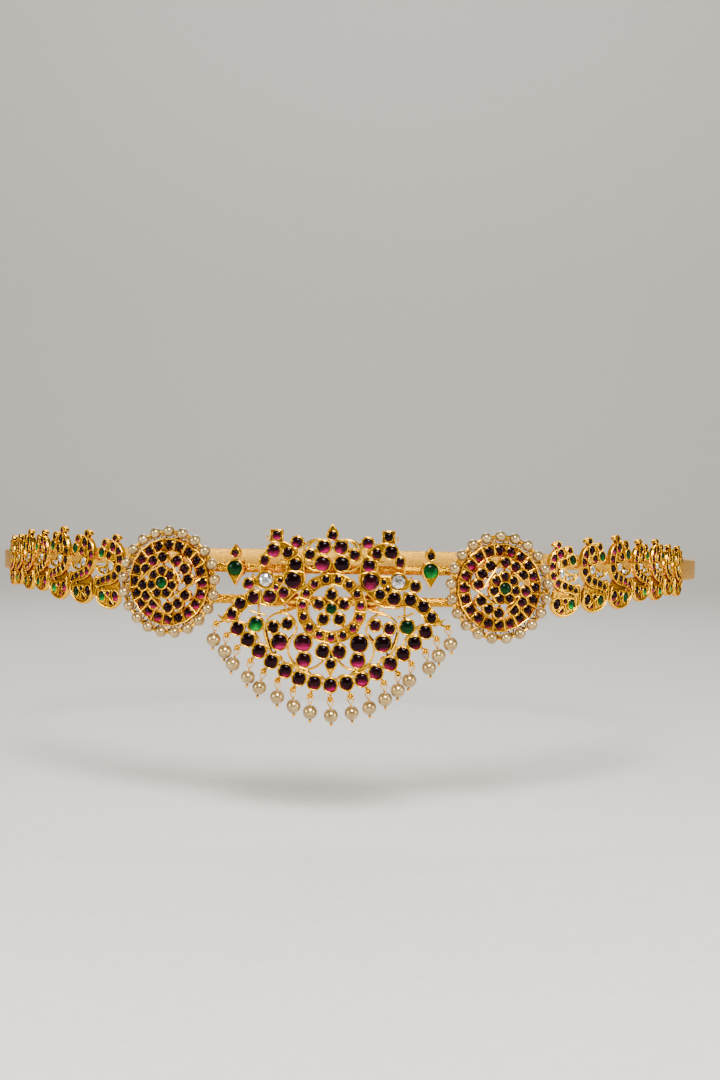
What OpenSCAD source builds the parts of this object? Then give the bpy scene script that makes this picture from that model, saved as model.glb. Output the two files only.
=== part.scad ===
/* [Plan] */
// Depth of the belt's loop from the middle of the front to the middle of the back
waist_depth = 218; // [210:1:228]
// Radius of the front stretch, which carries the pendant and the medallions
front_r = 204; // [190:1:230]
// Radius of the stretch that the links follow round the hip
side_r = 124; // [116:1:132]
// Direction at which the tight rear corner turns into the back stretch, in degrees
corner_turn = 150; // [146:1:154]
// How far the chain of links climbs over the hip
hip_rise = 6; // [3:0.5:8]
// Arc length over which the climb rises and falls again
hip_span = 140; // [130:1:160]

/* [Pendant] */
// Width of the pendant over the tips of its two tails
pendant_w = 78; // [74:1:86]
// Thickness of the pendant from its back to the rim of its cells
pendant_t = 2.6; // [2.2:0.1:3.4]
// Thickness of the closed back of every stone's cell
floor_t = 0.8; // [0.5:0.1:1]
// Thickness of the wall round a stone
bezel_w = 0.55; // [0.45:0.05:0.7]
// Width of the scroll wires and solder bars
scroll_w = 0.8; // [0.6:0.05:1]
// How far the ring's middle lies below the middle line of the belt
ring_drop = 7.7; // [6:0.1:9]
// How far the ring's cells stand above the pendant's other cells
ring_step = 0.4; // [0.2:0.1:0.8]
// How far the flower in the ring stands above the pendant's other cells
flower_step = 0.8; // [0.5:0.1:1.2]

/* [Stones] */
// Height of a cabochon's straight side
girdle_h = 1.2; // [0.8:0.1:1.4]
// Height of a cabochon's dome as a share of its radius
dome_share = 0.45; // [0.3:0.05:0.6]
// Clearance round and under each stone
seat_gap = 0.06; // [0.05:0.01:0.1]

/* [Drops] */
// Diameter of the pearls that hang from the pendant
drop_pearl_d = 5; // [4.4:0.1:5.3]
// Diameter of the granule flower that carries each drop
granule_d = 2.6; // [2.2:0.1:3]
// Diameter of the wire of the drops' loops, eyes and pins
pin_d = 0.4; // [0.35:0.05:0.45]
// Radius of the middle line of each loop and eye
loop_r = 0.65; // [0.6:0.05:0.8]
// Diameter of the ball that ends each pin
ball_d = 1.2; // [1:0.1:1.4]

/* [Ropes] */
// Diameter of the two braided ropes
rope_d = 3.7; // [3.2:0.1:4]
// Height of a rope's middle above or below the belt's middle line
rope_z = 5.5; // [4.8:0.1:6.5]
// Wall of the sleeves and cups that hold the ropes
sleeve_w = 0.9; // [0.8:0.1:1.2]
// Length of each sleeve and cup
sleeve_l = 4; // [3:0.5:5]
// Clearance between a rope and a sleeve or cup
rope_gap = 0.1; // [0.05:0.01:0.15]
// Arc length from the front's middle to each slider
slider_s = 33.3; // [31.5:0.1:34.5]
// Radius of a slider's green stone
slider_stone_r = 2.55; // [2.2:0.05:2.7]

/* [Medallions] */
// Diameter of a medallion over its gold rim, without pearls
medallion_d = 31.6; // [29:0.2:33]
// How far a medallion's pearls tuck in over the tip of the pendant's tail
medallion_tuck = 1.2; // [0:0.1:1.6]
// Thickness of the medallion's outer ring
rim_t = 2.2; // [1.8:0.1:2.6]
// Height of the tier of twelve collets above the outer ring's back
tier_z = 2.8; // [2.4:0.1:3.2]
// Height of the flower above the outer ring's back
crown_z = 5.4; // [5:0.1:6]
// Thickness of the collets and the flower
collet_t = 2; // [1.8:0.1:2.4]
// Diameter of the pearls round a medallion
rim_pearl_d = 4; // [3.6:0.1:4.1]
// Number of pearls round a medallion
rim_pearls = 21; // [19:1:21]
// Diameter of the wire that the rim's pearls are threaded on
thread_d = 0.5; // [0.4:0.05:0.6]

/* [Links] */
// Height of the large, the medium and the small bird links
link_large = 26.6; // [25:0.1:28]
link_medium = 22.7; // [21:0.1:24.5]
link_small = 19.3; // [18:0.1:20.5]
// Arc length that a link takes up as a share of its height
link_pitch = 0.5; // [0.49:0.005:0.53]
// Thickness of a link
link_t = 2.4; // [2:0.1:2.8]
// Arc length from a medallion's middle to the first jump ring
first_ring = 18.4; // [18.3:0.1:19]
// Height of the link's ears above and below its middle
ear_z = 4.6; // [4:0.1:5]
// Radius of the middle line of an ear
ear_r = 0.85; // [0.8:0.05:0.9]
// Radius of the middle line of a jump ring
jump_r = 1.5; // [1.4:0.05:1.7]
// Diameter of the wire of ears and jump rings
jump_d = 0.6; // [0.5:0.05:0.65]

/* [Strap] */
// Height of the plain strap
strap_h = 7.8; // [6.5:0.1:9]
// Thickness of the plain strap
strap_t = 1.2; // [1:0.1:1.6]
// Length of the closing sleeve at the back
clasp_l = 24; // [18:1:30]
// Wall of the closing sleeve
clasp_w = 1; // [0.8:0.1:1.4]
// Clearance of the strap in the closing sleeve
clasp_gap = 0.2; // [0.15:0.05:0.3]

/* [Hidden] */
LINKS = 7;
$fn = 48;
// Sides of a whole turn of the large plan arcs
PLAN_SIDES = 720;
GOLD = "goldenrod";
GARNET = "maroon";
EMERALD = "darkgreen";
PEARL = "cornsilk";
CLEAR = "white";

// The plan of one half: four arcs that run into one another without a kink
function arc_to(p, r, length) =
    let (turn = p[2] + length / r * 180 / PI)
    [p[0] + r * (sin(turn) - sin(p[2])), p[1] + r * (cos(p[2]) - cos(turn)), turn];
function arc_length(r, turn) = r * turn * PI / 180;

medallion_s = pendant_w / 2 + medallion_d / 2 + rim_pearl_d - medallion_tuck;
FRONT = [0, -waist_depth / 2, 0];
HIP = arc_to(FRONT, front_r, medallion_s);
hip_s = medallion_s + arc_length(side_r, 90 - HIP[2]);
SIDE = arc_to(HIP, side_r, hip_s - medallion_s);
back_gap = waist_depth / 2 - SIDE[1];
// Radii of the corner and the back that close the loop at its middle, square to it
closing = (1 - sin(corner_turn)) * (1 + cos(corner_turn)) + sin(corner_turn) * cos(corner_turn);
corner_r = (SIDE[0] * (1 + cos(corner_turn)) - sin(corner_turn) * back_gap) / closing;
back_r = ((1 - sin(corner_turn)) * back_gap + cos(corner_turn) * SIDE[0]) / closing;
corner_s = hip_s + arc_length(corner_r, corner_turn - 90);
CORNER = arc_to(SIDE, corner_r, corner_s - hip_s);

function plan(s) =
    s < medallion_s ? arc_to(FRONT, front_r, s)
    : s < hip_s ? arc_to(HIP, side_r, s - medallion_s)
    : s < corner_s ? arc_to(SIDE, corner_r, s - hip_s)
    : arc_to(CORNER, back_r, s - corner_s);

// Height and slope of the chain of links at an arc length past the medallion's middle
function climb(s) = hip_rise * sin(180 * s / hip_span);
function slope(s) = atan(hip_rise * PI / hip_span * cos(180 * s / hip_span));

// Faces the belt's outside: x runs along the belt, y is up and z points away from the waist
module on_belt(s, height = 0, roll = 0) {
    p = plan(s);
    translate([p[0], p[1], height]) rotate([0, 0, p[2]]) rotate([90, 0, 0]) rotate([0, 0, roll]) children();
}

// Back face of everything that lies in front of the ropes, from the plan line
back_z = rope_d / 2 + 0.3;

// Flat helpers
module at2(p) { translate([p[0], p[1]]) children(); }

module bar(a, b, w) {
    d = b - a;
    at2(a) rotate(atan2(d[1], d[0])) translate([0, -w / 2]) square([norm(d), w]);
}

module tear(c, r, tip) {
    d = tip - c;
    side = [-d[1], d[0]] / norm(d) * r;
    at2(c) circle(r);
    polygon([c + side, tip, c - side]);
}

module oval(c, r, half) {
    translate([c[0], c[1] - half]) circle(r);
    translate([c[0], c[1] + half]) circle(r);
    translate([c[0] - r, c[1] - half]) square([2 * r, 2 * half]);
}

// An arc of wire from angle a to angle b, shorter than a full turn
module arc_wire(c, r, a, b, w) {
    steps = 6;
    at2(c) intersection() {
        difference() {
            circle(r + w / 2);
            circle(r - w / 2);
        }
        polygon(concat([[0, 0]], [for (i = [0:steps]) 1.5 * (r + w) *
            [cos(a + (b - a) * i / steps), sin(a + (b - a) * i / steps)]]));
    }
}

module both_sides() {
    children();
    mirror([1, 0]) children();
}

// A closed-back cell plate: floor of the whole outline, then walls round the seats
module cell_plate(t) {
    linear_extrude(floor_t + 0.01) children(0);
    translate([0, 0, floor_t]) linear_extrude(t - floor_t) difference() {
        children(0);
        children(1);
    }
}

module cabochon(r) {
    dome = r * dome_share;
    ball = (r * r + dome * dome) / (2 * dome);
    translate([0, 0, floor_t + seat_gap]) intersection() {
        cylinder(r = r, h = girdle_h + dome);
        translate([0, 0, girdle_h + dome - ball]) sphere(ball);
    }
}

module torus(r, d) {
    rotate_extrude() translate([r, 0]) circle(d / 2);
}

// A cut stone with a table, eight main facets and a girdle
module cut_stone(r) {
    translate([0, 0, floor_t + seat_gap]) {
        cylinder(r = r, h = girdle_h, $fn = 8);
        translate([0, 0, girdle_h]) cylinder(r1 = r, r2 = r * 0.6, h = r * 0.35, $fn = 8);
    }
}

// Layout of the pendant's right half. Places and radii are hundredths of pendant_w,
// measured from the middle of the ring: x, y, radius of the stone
ROUNDS_UPPER = [
    [3.8, 26.9, 2.8], [4.3, 19.5, 3.2], [9.9, 23.6, 2.2], [24.7, 31.7, 1.9], [25.9, 25, 2.7],
    [15.6, 28.8, 2.3], [19.6, 24.2, 2.1], [16.1, 19, 2.5], [17.1, 11.9, 3.2],
    [21.4, 6.4, 2], [27.4, 4.7, 2.8], [34.5, 4.7, 2.3], [40.5, 1.5, 2.3], [43.9, -3.5, 1.9],
    [36.7, 10.1, 2.2]
];
ROUNDS_LOWER = [
    [25.7, -8.6, 2.2], [19.4, -7.2, 2.2], [22.9, -15.2, 3.2], [12.4, -15.4, 3.4],
    [11.9, -22.9, 2.8], [3.6, -19, 2.7]
];
// Stones too small for a solid of their own keep their cells
ROUNDS_TINY = [[29.9, 20.6, 1.5], [22.9, 11.9, 1.3], [24.6, 8.8, 1.3]];
SCALLOPS = [
    [41.4, -9.5, 2.7], [36.7, -14.4, 2.8], [31.7, -19.3, 2.8], [26.2, -23.8, 2.8],
    [20, -27.8, 2.8], [13.8, -31.1, 2.8], [7.1, -32.8, 2.8]
];
GREEN = [33.4, -7.6, 2.9];
CLEAR_STONE = [29.3, 12.1, 3];
// Cells on the middle line: finial, drop under the ring and lowest scallop
MIDDLE = [[0, 32.3, 2], [0, -25, 2], [0, -33.8, 2.8]];
// Solder bars and straight wires: start x and y, end x and y
BARS = [
    [0, 32.3, 3.8, 26.9], [0, 26.9, 3.8, 26.9], [0, 19.5, 4.3, 19.5], [4.3, 19.5, 3.3, 14.5],
    [3.8, 26.9, 9.9, 23.6], [15.6, 28.8, 10.5, 28.2], [24.7, 31.7, 25.9, 25], [25.9, 25, 19.6, 24.2],
    [15.6, 28.8, 19.6, 24.2], [25.9, 25, 29.9, 20.6], [29.9, 20.6, 29.3, 12.1],
    [19.6, 24.2, 16.1, 19], [12.7, 22.6, 12.3, 9.2], [16.1, 19, 17.1, 11.9], [17.1, 11.9, 22.9, 11.9],
    [22.9, 11.9, 29.3, 12.1], [22.9, 11.9, 24.6, 8.8], [24.6, 8.8, 27.4, 4.7], [29.3, 12.1, 27.4, 4.7],
    [17.1, 11.9, 21.4, 6.4], [21.4, 6.4, 27.4, 4.7], [36.7, 10.1, 34.5, 4.7], [43.9, -3.5, 41.4, -9.5],
    [31.9, 3, 31.7, -2.4], [35.4, -2, 29.6, -3.5], [31.7, -2.4, 33.4, -7.6], [21.4, 3, 19.4, -1.6],
    [22.9, -1.7, 15, 0.2], [33.4, -7.6, 29.2, -9.7], [33.4, -7.6, 41.4, -9.5], [29.2, -10, 26.2, -20.5],
    [25.7, -8.6, 19.4, -7.2], [25.7, -8.6, 22.9, -15.2], [19.4, -7.2, 15.8, -7], [16, -11.2, 19.6, -15.2],
    [12.4, -15.4, 10.4, -12.8], [12.4, -15.4, 11.9, -22.9], [3.6, -19, 3, -14.6], [0, -19, 3.6, -19],
    [0, -19, 0, -25], [0, -25, 0, -33.8], [11.9, -22.9, 11.9, -27.2], [11.9, -27.2, 13.8, -31.1],
    [22.9, -15.2, 26.2, -23.8], [26.2, -23.8, 20, -27.8], [7.1, -32.8, 0, -33.8],
    [41.4, -9.5, 36.7, -14.4], [36.7, -14.4, 31.7, -19.3], [31.7, -19.3, 26.2, -23.8],
    [20, -27.8, 13.8, -31.1], [13.8, -31.1, 7.1, -32.8]
];
// The tail's arched band of cells and its width
TAIL = [[27.4, 4.7], [34.5, 4.7], [40.5, 1.5], [43.9, -3.5]];
tail_w = 5.6;
// Arcs of scroll wire: middle x and y, radius, first and last angle
SCROLLS = [[6.2, 23.3, 6.8, -115, 115], [22.4, -9.7, 7, -20, 190], [11.9, -20.4, 6.8, -150, 30]];
// Pointed cells: middle, radius, tip
TEARS = [[29.3, 12.1, 3.6, 35.4, 14.3], [44.4, -5.2, 1.3, 50, -5.4]];
HEAD_CELL = [[22, 29], [27.4, 29], [27.4, 34.2], [22, 34.2]];
NECK_CELL = [[12.3, 15.4], [12.3, 23], [15.5, 24.6], [20.3, 20.5], [20, 16.3]];
BREAST = [[20.6, 11], [13.2, 9.3], [14.6, 7.2], [22, 3], [24, 5]];
ring_out = 15.6;
ring_in = 10.1;
RING_STONES = 15;
PETALS = 5;
ring_stone = [12.9, 1.75];
petal = [6.1, 1.95];
flower_eye = 1.85;
// Where the drops hang, in hundredths of pendant_w, and the scallop each is soldered to
DROPS = [[51.2, -7.6], [46.4, -12.7], [41.6, -18.2], [35.6, -23.9], [29.7, -28.4], [23.5, -32.4],
         [16.6, -36.3], [8.9, -38.8]];
DROP_ROOTS = [[45.5, -5.4], [41.4, -9.5], [36.7, -14.4], [31.7, -19.3], [26.2, -23.8], [20, -27.8],
              [13.8, -31.1], [7.1, -32.8]];
MIDDLE_DROP = [0, -40.2];
MIDDLE_ROOT = [0, -33.8];

unit = pendant_w / 100;
function xy(p) = [p[0], p[1]] * unit;

module flat_cells(rows, wall) {
    for (c = rows) at2(xy(c)) circle(c[2] * unit + wall);
}

module ring_places() {
    for (i = [0:RING_STONES - 1]) rotate(-90 + i * 360 / RING_STONES) translate([ring_stone[0] * unit, 0]) children();
}

module petal_places() {
    for (i = [0:PETALS - 1]) rotate(90 + i * 360 / PETALS) translate([petal[0] * unit, 0]) children();
}

module pendant_outline() {
    both_sides() {
        for (rows = [ROUNDS_UPPER, ROUNDS_LOWER, ROUNDS_TINY, SCALLOPS, [GREEN, CLEAR_STONE]])
            flat_cells(rows, seat_gap + bezel_w);
        for (b = BARS) bar([b[0], b[1]] * unit, [b[2], b[3]] * unit, scroll_w);
        for (i = [1:len(TAIL) - 1]) bar(TAIL[i - 1] * unit, TAIL[i] * unit, tail_w * unit);
        for (s = SCROLLS) arc_wire(xy(s), s[2] * unit, s[3], s[4], scroll_w);
        for (t = TEARS) tear(xy(t), t[2] * unit, [t[3], t[4]] * unit);
        for (shape = [HEAD_CELL, NECK_CELL, BREAST]) polygon(shape * unit);
        for (i = [0:len(DROPS) - 1]) bar(DROP_ROOTS[i] * unit, DROPS[i] * unit, scroll_w);
    }
    flat_cells(MIDDLE, seat_gap + bezel_w);
    tear(xy(MIDDLE[0]), MIDDLE[0][2] * unit + bezel_w, [0, 36.6] * unit);
    tear(xy(MIDDLE[1]), MIDDLE[1][2] * unit + bezel_w, [0, -30.2] * unit);
    bar(MIDDLE_ROOT * unit, MIDDLE_DROP * unit, scroll_w);
}

module pendant_seats() {
    both_sides()
        for (rows = [ROUNDS_UPPER, ROUNDS_LOWER, ROUNDS_TINY, SCALLOPS, [GREEN, CLEAR_STONE]])
            flat_cells(rows, seat_gap);
    flat_cells(MIDDLE, seat_gap);
}

module ring_outline() {
    difference() {
        circle(ring_out * unit);
        circle(ring_in * unit);
    }
}

module flower_outline() {
    circle(flower_eye * unit + bezel_w);
    petal_places() tear([0, 0], petal[1] * unit + bezel_w, [(ring_in + 0.6 - petal[0]) * unit, 0]);
    for (i = [0:PETALS - 1]) rotate(90 + i * 360 / PETALS) bar([0, 0], [petal[0] * unit, 0], 2 * scroll_w);
}

module drop_places() {
    for (side = [-1, 1], p = DROPS) translate([side * p[0], p[1], 0] * unit) children();
    translate([MIDDLE_DROP[0], MIDDLE_DROP[1], 0] * unit) children();
}

// Depth of the middle of a drop's granule flower, and heights below it
drop_z = pendant_t / 2;
loop_y = -(granule_d / 2 + loop_r - pin_d * 1.25);
eye_y = loop_y - 2 * loop_r + pin_d + 0.05;
pearl_y = eye_y - loop_r - pin_d / 2 - 0.05 - drop_pearl_d / 2;

module in_pendant() {
    translate([0, -waist_depth / 2 - back_z, -ring_drop]) rotate([90, 0, 0]) children();
}

module rope_sleeve(s, side) {
    mirror([side < 0 ? 1 : 0, 0, 0]) on_belt(s, rope_z) rope_tube();
    mirror([side < 0 ? 1 : 0, 0, 0]) on_belt(s, -rope_z) rope_tube();
}

module rope_tube() {
    rotate([0, 90, 0]) difference() {
        cylinder(d = rope_d + 2 * (rope_gap + sleeve_w), h = sleeve_l, center = true);
        cylinder(d = rope_d + 2 * rope_gap, h = sleeve_l + 1, center = true);
    }
}

// Arc length of the sleeves on the back of the pendant, behind the big neck cells
sleeve_s = 17.1 * unit;

module pendant_frame() color(GOLD) {
    in_pendant() {
        cell_plate(pendant_t) {
            pendant_outline();
            pendant_seats();
        }
        cell_plate(pendant_t + ring_step) {
            ring_outline();
            ring_places() circle(ring_stone[1] * unit + seat_gap);
        }
        cell_plate(pendant_t + flower_step) {
            flower_outline();
            union() {
                circle(flower_eye * unit + seat_gap);
                petal_places() circle(petal[1] * unit + seat_gap);
            }
        }
        drop_places() {
            cylinder(d = granule_d, h = pendant_t);
            translate([0, loop_y, drop_z]) torus(loop_r, pin_d);
        }
    }
    rope_sleeve(sleeve_s, 1);
    rope_sleeve(sleeve_s, -1);
}

module cabochons(rows, lift = 0) {
    for (c = rows) translate([c[0] * unit, c[1] * unit, lift]) cabochon(c[2] * unit);
}

module pendant_garnets_upper() color(GARNET) in_pendant() {
    for (side = [0, 1]) mirror([side, 0, 0]) cabochons(ROUNDS_UPPER);
    cabochons([MIDDLE[0]]);
    for (i = [0:PETALS - 1]) rotate(90 + i * 360 / PETALS) translate([petal[0] * unit, 0, flower_step])
        cabochon(petal[1] * unit);
}

module pendant_garnets_lower() color(GARNET) in_pendant() {
    for (side = [0, 1]) mirror([side, 0, 0]) {
        cabochons(ROUNDS_LOWER);
        cabochons(SCALLOPS);
    }
    cabochons([MIDDLE[1], MIDDLE[2]]);
}

module pendant_emeralds() color(EMERALD) in_pendant() {
    for (side = [0, 1]) mirror([side, 0, 0]) cabochons([GREEN]);
    translate([0, 0, flower_step]) cabochon(flower_eye * unit);
}

module pendant_clear_stones() color(CLEAR) in_pendant()
    for (side = [-1, 1]) translate([side * CLEAR_STONE[0], CLEAR_STONE[1], 0] * unit) cut_stone(CLEAR_STONE[2] * unit);

module drop_pins() color(GOLD) in_pendant() drop_places() translate([0, 0, drop_z]) {
    translate([0, eye_y, 0]) rotate([0, 90, 0]) torus(loop_r, pin_d);
    translate([0, pearl_y - drop_pearl_d / 2 - ball_d / 2, 0]) rotate([-90, 0, 0])
        cylinder(d = pin_d, h = eye_y - loop_r - pearl_y + (drop_pearl_d + ball_d) / 2);
    translate([0, pearl_y - drop_pearl_d / 2 - ball_d / 2, 0]) sphere(d = ball_d);
}

module drop_pearls() color(PEARL) in_pendant() drop_places() translate([0, pearl_y, drop_z]) difference() {
    sphere(d = drop_pearl_d);
    rotate([90, 0, 0]) cylinder(d = pin_d + 0.3, h = drop_pearl_d + 1, center = true);
}

// The ropes end inside cups on the backs of the medallions
cup_s = medallion_s - 0.4 * medallion_d;

module rope(height) {
    end_turn = cup_s / front_r * 180 / PI;
    translate([0, front_r - waist_depth / 2, height]) rotate([0, 0, -90 - end_turn])
        rotate_extrude(angle = 2 * end_turn, $fn = PLAN_SIDES) translate([front_r, 0]) circle(rope_d / 2, $fn = 48);
}

module rope_upper() color(GOLD) rope(rope_z);
module rope_lower() color(GOLD) rope(-rope_z);

// A slider: round green cell drawn out to a point below, with a red teardrop above
slider_r = slider_stone_r + seat_gap + bezel_w;
slider_tip = -2.2 * slider_stone_r;
bud = [0, 2 * slider_stone_r, 0.47 * slider_stone_r];
bud_tip = 2.9 * slider_stone_r;

module slider_outline() {
    tear([0, 0], slider_r, [0, slider_tip]);
    tear([0, bud[1]], bud[2] + seat_gap + bezel_w, [0, bud_tip]);
    bar([0, 0], [0, bud[1]], scroll_w);
}

module slider() {
    on_belt(slider_s, rope_z) {
        translate([0, 0, back_z]) cell_plate(pendant_t) {
            slider_outline();
            union() {
                circle(slider_stone_r + seat_gap);
                translate([0, bud[1]]) circle(bud[2] + seat_gap);
            }
        }
        rope_tube();
    }
}

module slider_right() color(GOLD) slider();
module slider_left() color(GOLD) mirror([1, 0, 0]) slider();
module slider_stones() for (side = [0, 1]) mirror([side, 0, 0]) on_belt(slider_s, rope_z) translate([0, 0, back_z]) {
    color(EMERALD) cabochon(slider_stone_r);
    color(GARNET) translate([0, bud[1], 0]) cabochon(bud[2]);
}

// Radii of the medallion's parts as shares of its diameter, counts, and radii of the stones
OUTER_CELLS = [20, 0.427, 0.044];
COLLETS = [12, 0.28, 0.049];
// Pinwheel wires: how many, the angle of the first one's outer end and the turn to its inner end
PINWHEEL = [4, 86.5, 42];
// Collets stand in groups between the wires: angles from the first wire's outer end
COLLET_TURNS = [33.5, 60, 86];
FLOWER_CELLS = [7, 0.131, 0.043];
EYE_CELL = 0.054;
outer_in = 0.36 * medallion_d;
flower_r = 0.19 * medallion_d;
collet_rim = COLLETS[2] * medallion_d + seat_gap + bezel_w;
pearl_ring_r = medallion_d / 2 + rim_pearl_d / 2 + 0.05;
pearl_ring_z = rim_pearl_d / 2 + 0.2;

module round_places(cells) {
    for (i = [0:cells[0] - 1]) rotate(90 + i * 360 / cells[0]) translate([cells[1] * medallion_d, 0, 0]) children();
}

module collet_places(r = COLLETS[1] * medallion_d) {
    for (i = [0:PINWHEEL[0] - 1], a = COLLET_TURNS)
        rotate(PINWHEEL[1] + a + i * 360 / PINWHEEL[0]) translate([r, 0, 0]) children();
}

module pearl_places(shift) {
    for (i = [0:rim_pearls - 1]) rotate(90 + (i + shift) * 360 / rim_pearls)
        translate([pearl_ring_r, 0, pearl_ring_z]) rotate([90, 0, 0]) children();
}

module medallion_frame() {
    cell_plate(rim_t) {
        difference() {
            circle(d = medallion_d);
            circle(outer_in);
        }
        round_places(OUTER_CELLS) circle(OUTER_CELLS[2] * medallion_d + seat_gap);
    }
    spokes();
    difference() {
        collet_places() translate([0, 0, tier_z]) cylinder(r = collet_rim, h = collet_t);
        collet_places() translate([0, 0, tier_z + floor_t])
            cylinder(r = COLLETS[2] * medallion_d + seat_gap, h = collet_t);
    }
    translate([0, 0, crown_z]) cell_plate(collet_t) {
        circle(flower_r);
        union() {
            round_places(FLOWER_CELLS) circle(FLOWER_CELLS[2] * medallion_d + seat_gap);
            circle(EYE_CELL * medallion_d + seat_gap);
        }
    }
    pinwheel();
    difference() {
        pearl_places(0.5) {
            cylinder(d = thread_d + 1, h = 0.7, center = true);
            translate([-pearl_lug, -thread_d / 2, -0.35]) cube([pearl_lug, thread_d, 0.7]);
        }
        translate([0, 0, pearl_ring_z]) torus(pearl_ring_r, thread_d + 0.2);
    }
    medallion_ears();
}

// Length of the post from a pearl's lug down to the rim
pearl_lug = rim_pearl_d / 2 + 0.6;

// A round bar from point p to point q
module rod(p, q, d) {
    run = q - p;
    translate(p) rotate([0, acos(run[2] / norm(run)), atan2(run[1], run[0])]) cylinder(d = d, h = norm(run));
}

// Slanting spokes carry each collet from the outer ring, and the flower from the collets
module spokes() {
    mid = COLLETS[1] * medallion_d;
    low = tier_z + floor_t / 2;
    collet_places(0) {
        rod([outer_in + bezel_w, 0, rim_t / 2], [mid + collet_rim - bezel_w, 0, low], scroll_w);
        rod([mid - collet_rim + bezel_w / 2, 0, low], [flower_r - bezel_w, 0, crown_z + floor_t / 3], scroll_w);
    }
}

// Straight wires between the groups of collets, from the outer ring's edge up to the flower's rim
module pinwheel() {
    for (i = [0:PINWHEEL[0] - 1]) {
        a = PINWHEEL[1] + i * 360 / PINWHEEL[0];
        b = a + PINWHEEL[2];
        r = outer_in + bezel_w;
        rod([r * cos(a), r * sin(a), rim_t - 0.4], [flower_r * cos(b), flower_r * sin(b), crown_z + collet_t / 2],
            scroll_w);
    }
}

ear_depth = ear_r - 0.05;

// Where a first jump ring passes through its ear, in the medallion's own frame
function first_ear(side) =
    let (turn = first_ring / side_r * 180 / PI, roll = slope(first_ring),
         along = -jump_r * cos(roll) - side * ear_z * sin(roll))
    [side_r * sin(turn) + along * cos(turn),
     climb(first_ring) + side * ear_z * cos(roll) - jump_r * sin(roll),
     -side_r * (1 - cos(turn)) - along * sin(turn) - ear_depth + 0.05];

// Ears on arms that reach out behind the pearls
module medallion_ears() {
    arm_w = 2 * jump_d;
    for (side = [-1, 1]) {
        ear = first_ear(side);
        start = sqrt(pow(0.45 * medallion_d, 2) - ear[1] * ear[1]);
        translate([start, ear[1] - arm_w / 2, ear[2] - jump_d / 2]) {
            cube([ear[0] - ear_r - start, arm_w, jump_d]);
            cube([arm_w, arm_w, jump_d - ear[2]]);
        }
        translate(ear) rotate([90, 0, 0]) torus(ear_r, jump_d);
    }
}

module medallion(side) mirror([side, 0, 0]) on_belt(medallion_s) translate([0, 0, back_z]) children();

module rope_cups() {
    for (h = [-rope_z, rope_z]) on_belt(cup_s, h) rope_tube();
}

module medallion_right() color(GOLD) {
    medallion(0) medallion_frame();
    rope_cups();
}

module medallion_left() color(GOLD) {
    medallion(1) medallion_frame();
    mirror([1, 0, 0]) rope_cups();
}

module medallion_stones() {
    color(GARNET) collet_places() translate([0, 0, tier_z]) cabochon(COLLETS[2] * medallion_d);
    color(GARNET) round_places(FLOWER_CELLS) translate([0, 0, crown_z]) cabochon(FLOWER_CELLS[2] * medallion_d);
    color(EMERALD) translate([0, 0, crown_z]) cabochon(EYE_CELL * medallion_d);
}

module medallion_stones_left() medallion(1) medallion_stones();
module medallion_stones_right() medallion(0) medallion_stones();

// The bore is straight, and wide enough for the thread's slight curve
module rim_pearl_ring() color(PEARL) pearl_places(0) difference() {
    sphere(d = rim_pearl_d);
    cylinder(d = thread_d + 0.4, h = rim_pearl_d + 1, center = true);
}

module rim_pearls_left() medallion(1) rim_pearl_ring();
module rim_pearls_right() medallion(0) rim_pearl_ring();
module pearl_wire() color(GOLD) translate([0, 0, pearl_ring_z]) torus(pearl_ring_r, thread_d);
module pearl_wire_left() medallion(1) pearl_wire();
module pearl_wire_right() medallion(0) pearl_wire();

// The links: a bird with a second bird behind it over a half-round base, beaks towards the pendant.
// Places, radii and widths are hundredths of the link's height, measured from its middle
LINK_OUTLINE = [[-5.1, 44.6, 4.6], [11, 36.5, 4.8], [0.8, 21.7, 5], [-2.1, 6.1, 6], [-12.7, 28.4, 5],
                [-16.2, 19.2, 5], [-16, 4.4, 5.4], [-9.7, -5.7, 5.4], [15.2, -19.2, 5], [-14.3, -32.7, 6],
                [7.2, -36.1, 6.5], [-1.9, -31.1, 4.5]];
// Bars: start, end, width
LINK_BARS = [
    [-2.7, 36, -12.7, 28.4, 5], [-12.7, 28.4, -16.2, 19.2, 10], [-16.2, 19.2, -16, 4.4, 10],
    [-16, 4.4, -9.7, -5.7, 10], [-9.7, -5.7, 0, -10, 10], [-1, -9.5, 8.4, -14.2, 10],
    [7.5, -13.7, 15.2, -19.2, 9], [-5.1, 44.6, -2.7, 36, 6], [11, 36.5, 13.5, 27, 6],
    [-2.7, 33, 0.8, 21.7, 6], [4.8, 21.7, 5.5, 6, 3.5], [0.8, 21.7, -2.1, 6.1, 5],
    [-2.1, 6.1, 6.3, 1.5, 9], [5.8, 1.6, 13.5, 0.4, 7], [0, 27, 11, 23, 5], [-16, 10, -2.1, 6.1, 4],
    [-14.8, -17.6, 8, -20.8, 6], [8, -20.8, 15.2, -19.2, 6], [-10, -7, -10, -17, 5],
    [-18.5, -25, 14, -25, 4.4], [-12, -18, -12, -25, 5], [19, -29.4, 19.2, -13, 3.6],
    [15.2, -19.2, 19, -19.2, 5], [-18, -15, -14, -17.6, 4], [-1.9, -31.1, -9, -44.5, 3],
    [-1.9, -31.1, 5, -46.5, 3], [-14.3, -32.7, -1.9, -31.1, 3], [7.2, -36.1, 17, -36, 3]
];
LINK_POINTS = [[[-9, 47.8], [-9.5, 42.5], [-13, 45.2]], [[8, 40.5], [7, 34], [3.6, 39.6]],
               [[12.5, 3.9], [13, -3], [21.5, 3.4]]];
LINK_OVALS = [[-2.7, 33.2, 5, 1.8], [13.5, 23, 5.9, 2]];
LINK_RIM = [-0.4, -29.4, 18.6, 180, 360, 3.6];
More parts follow.
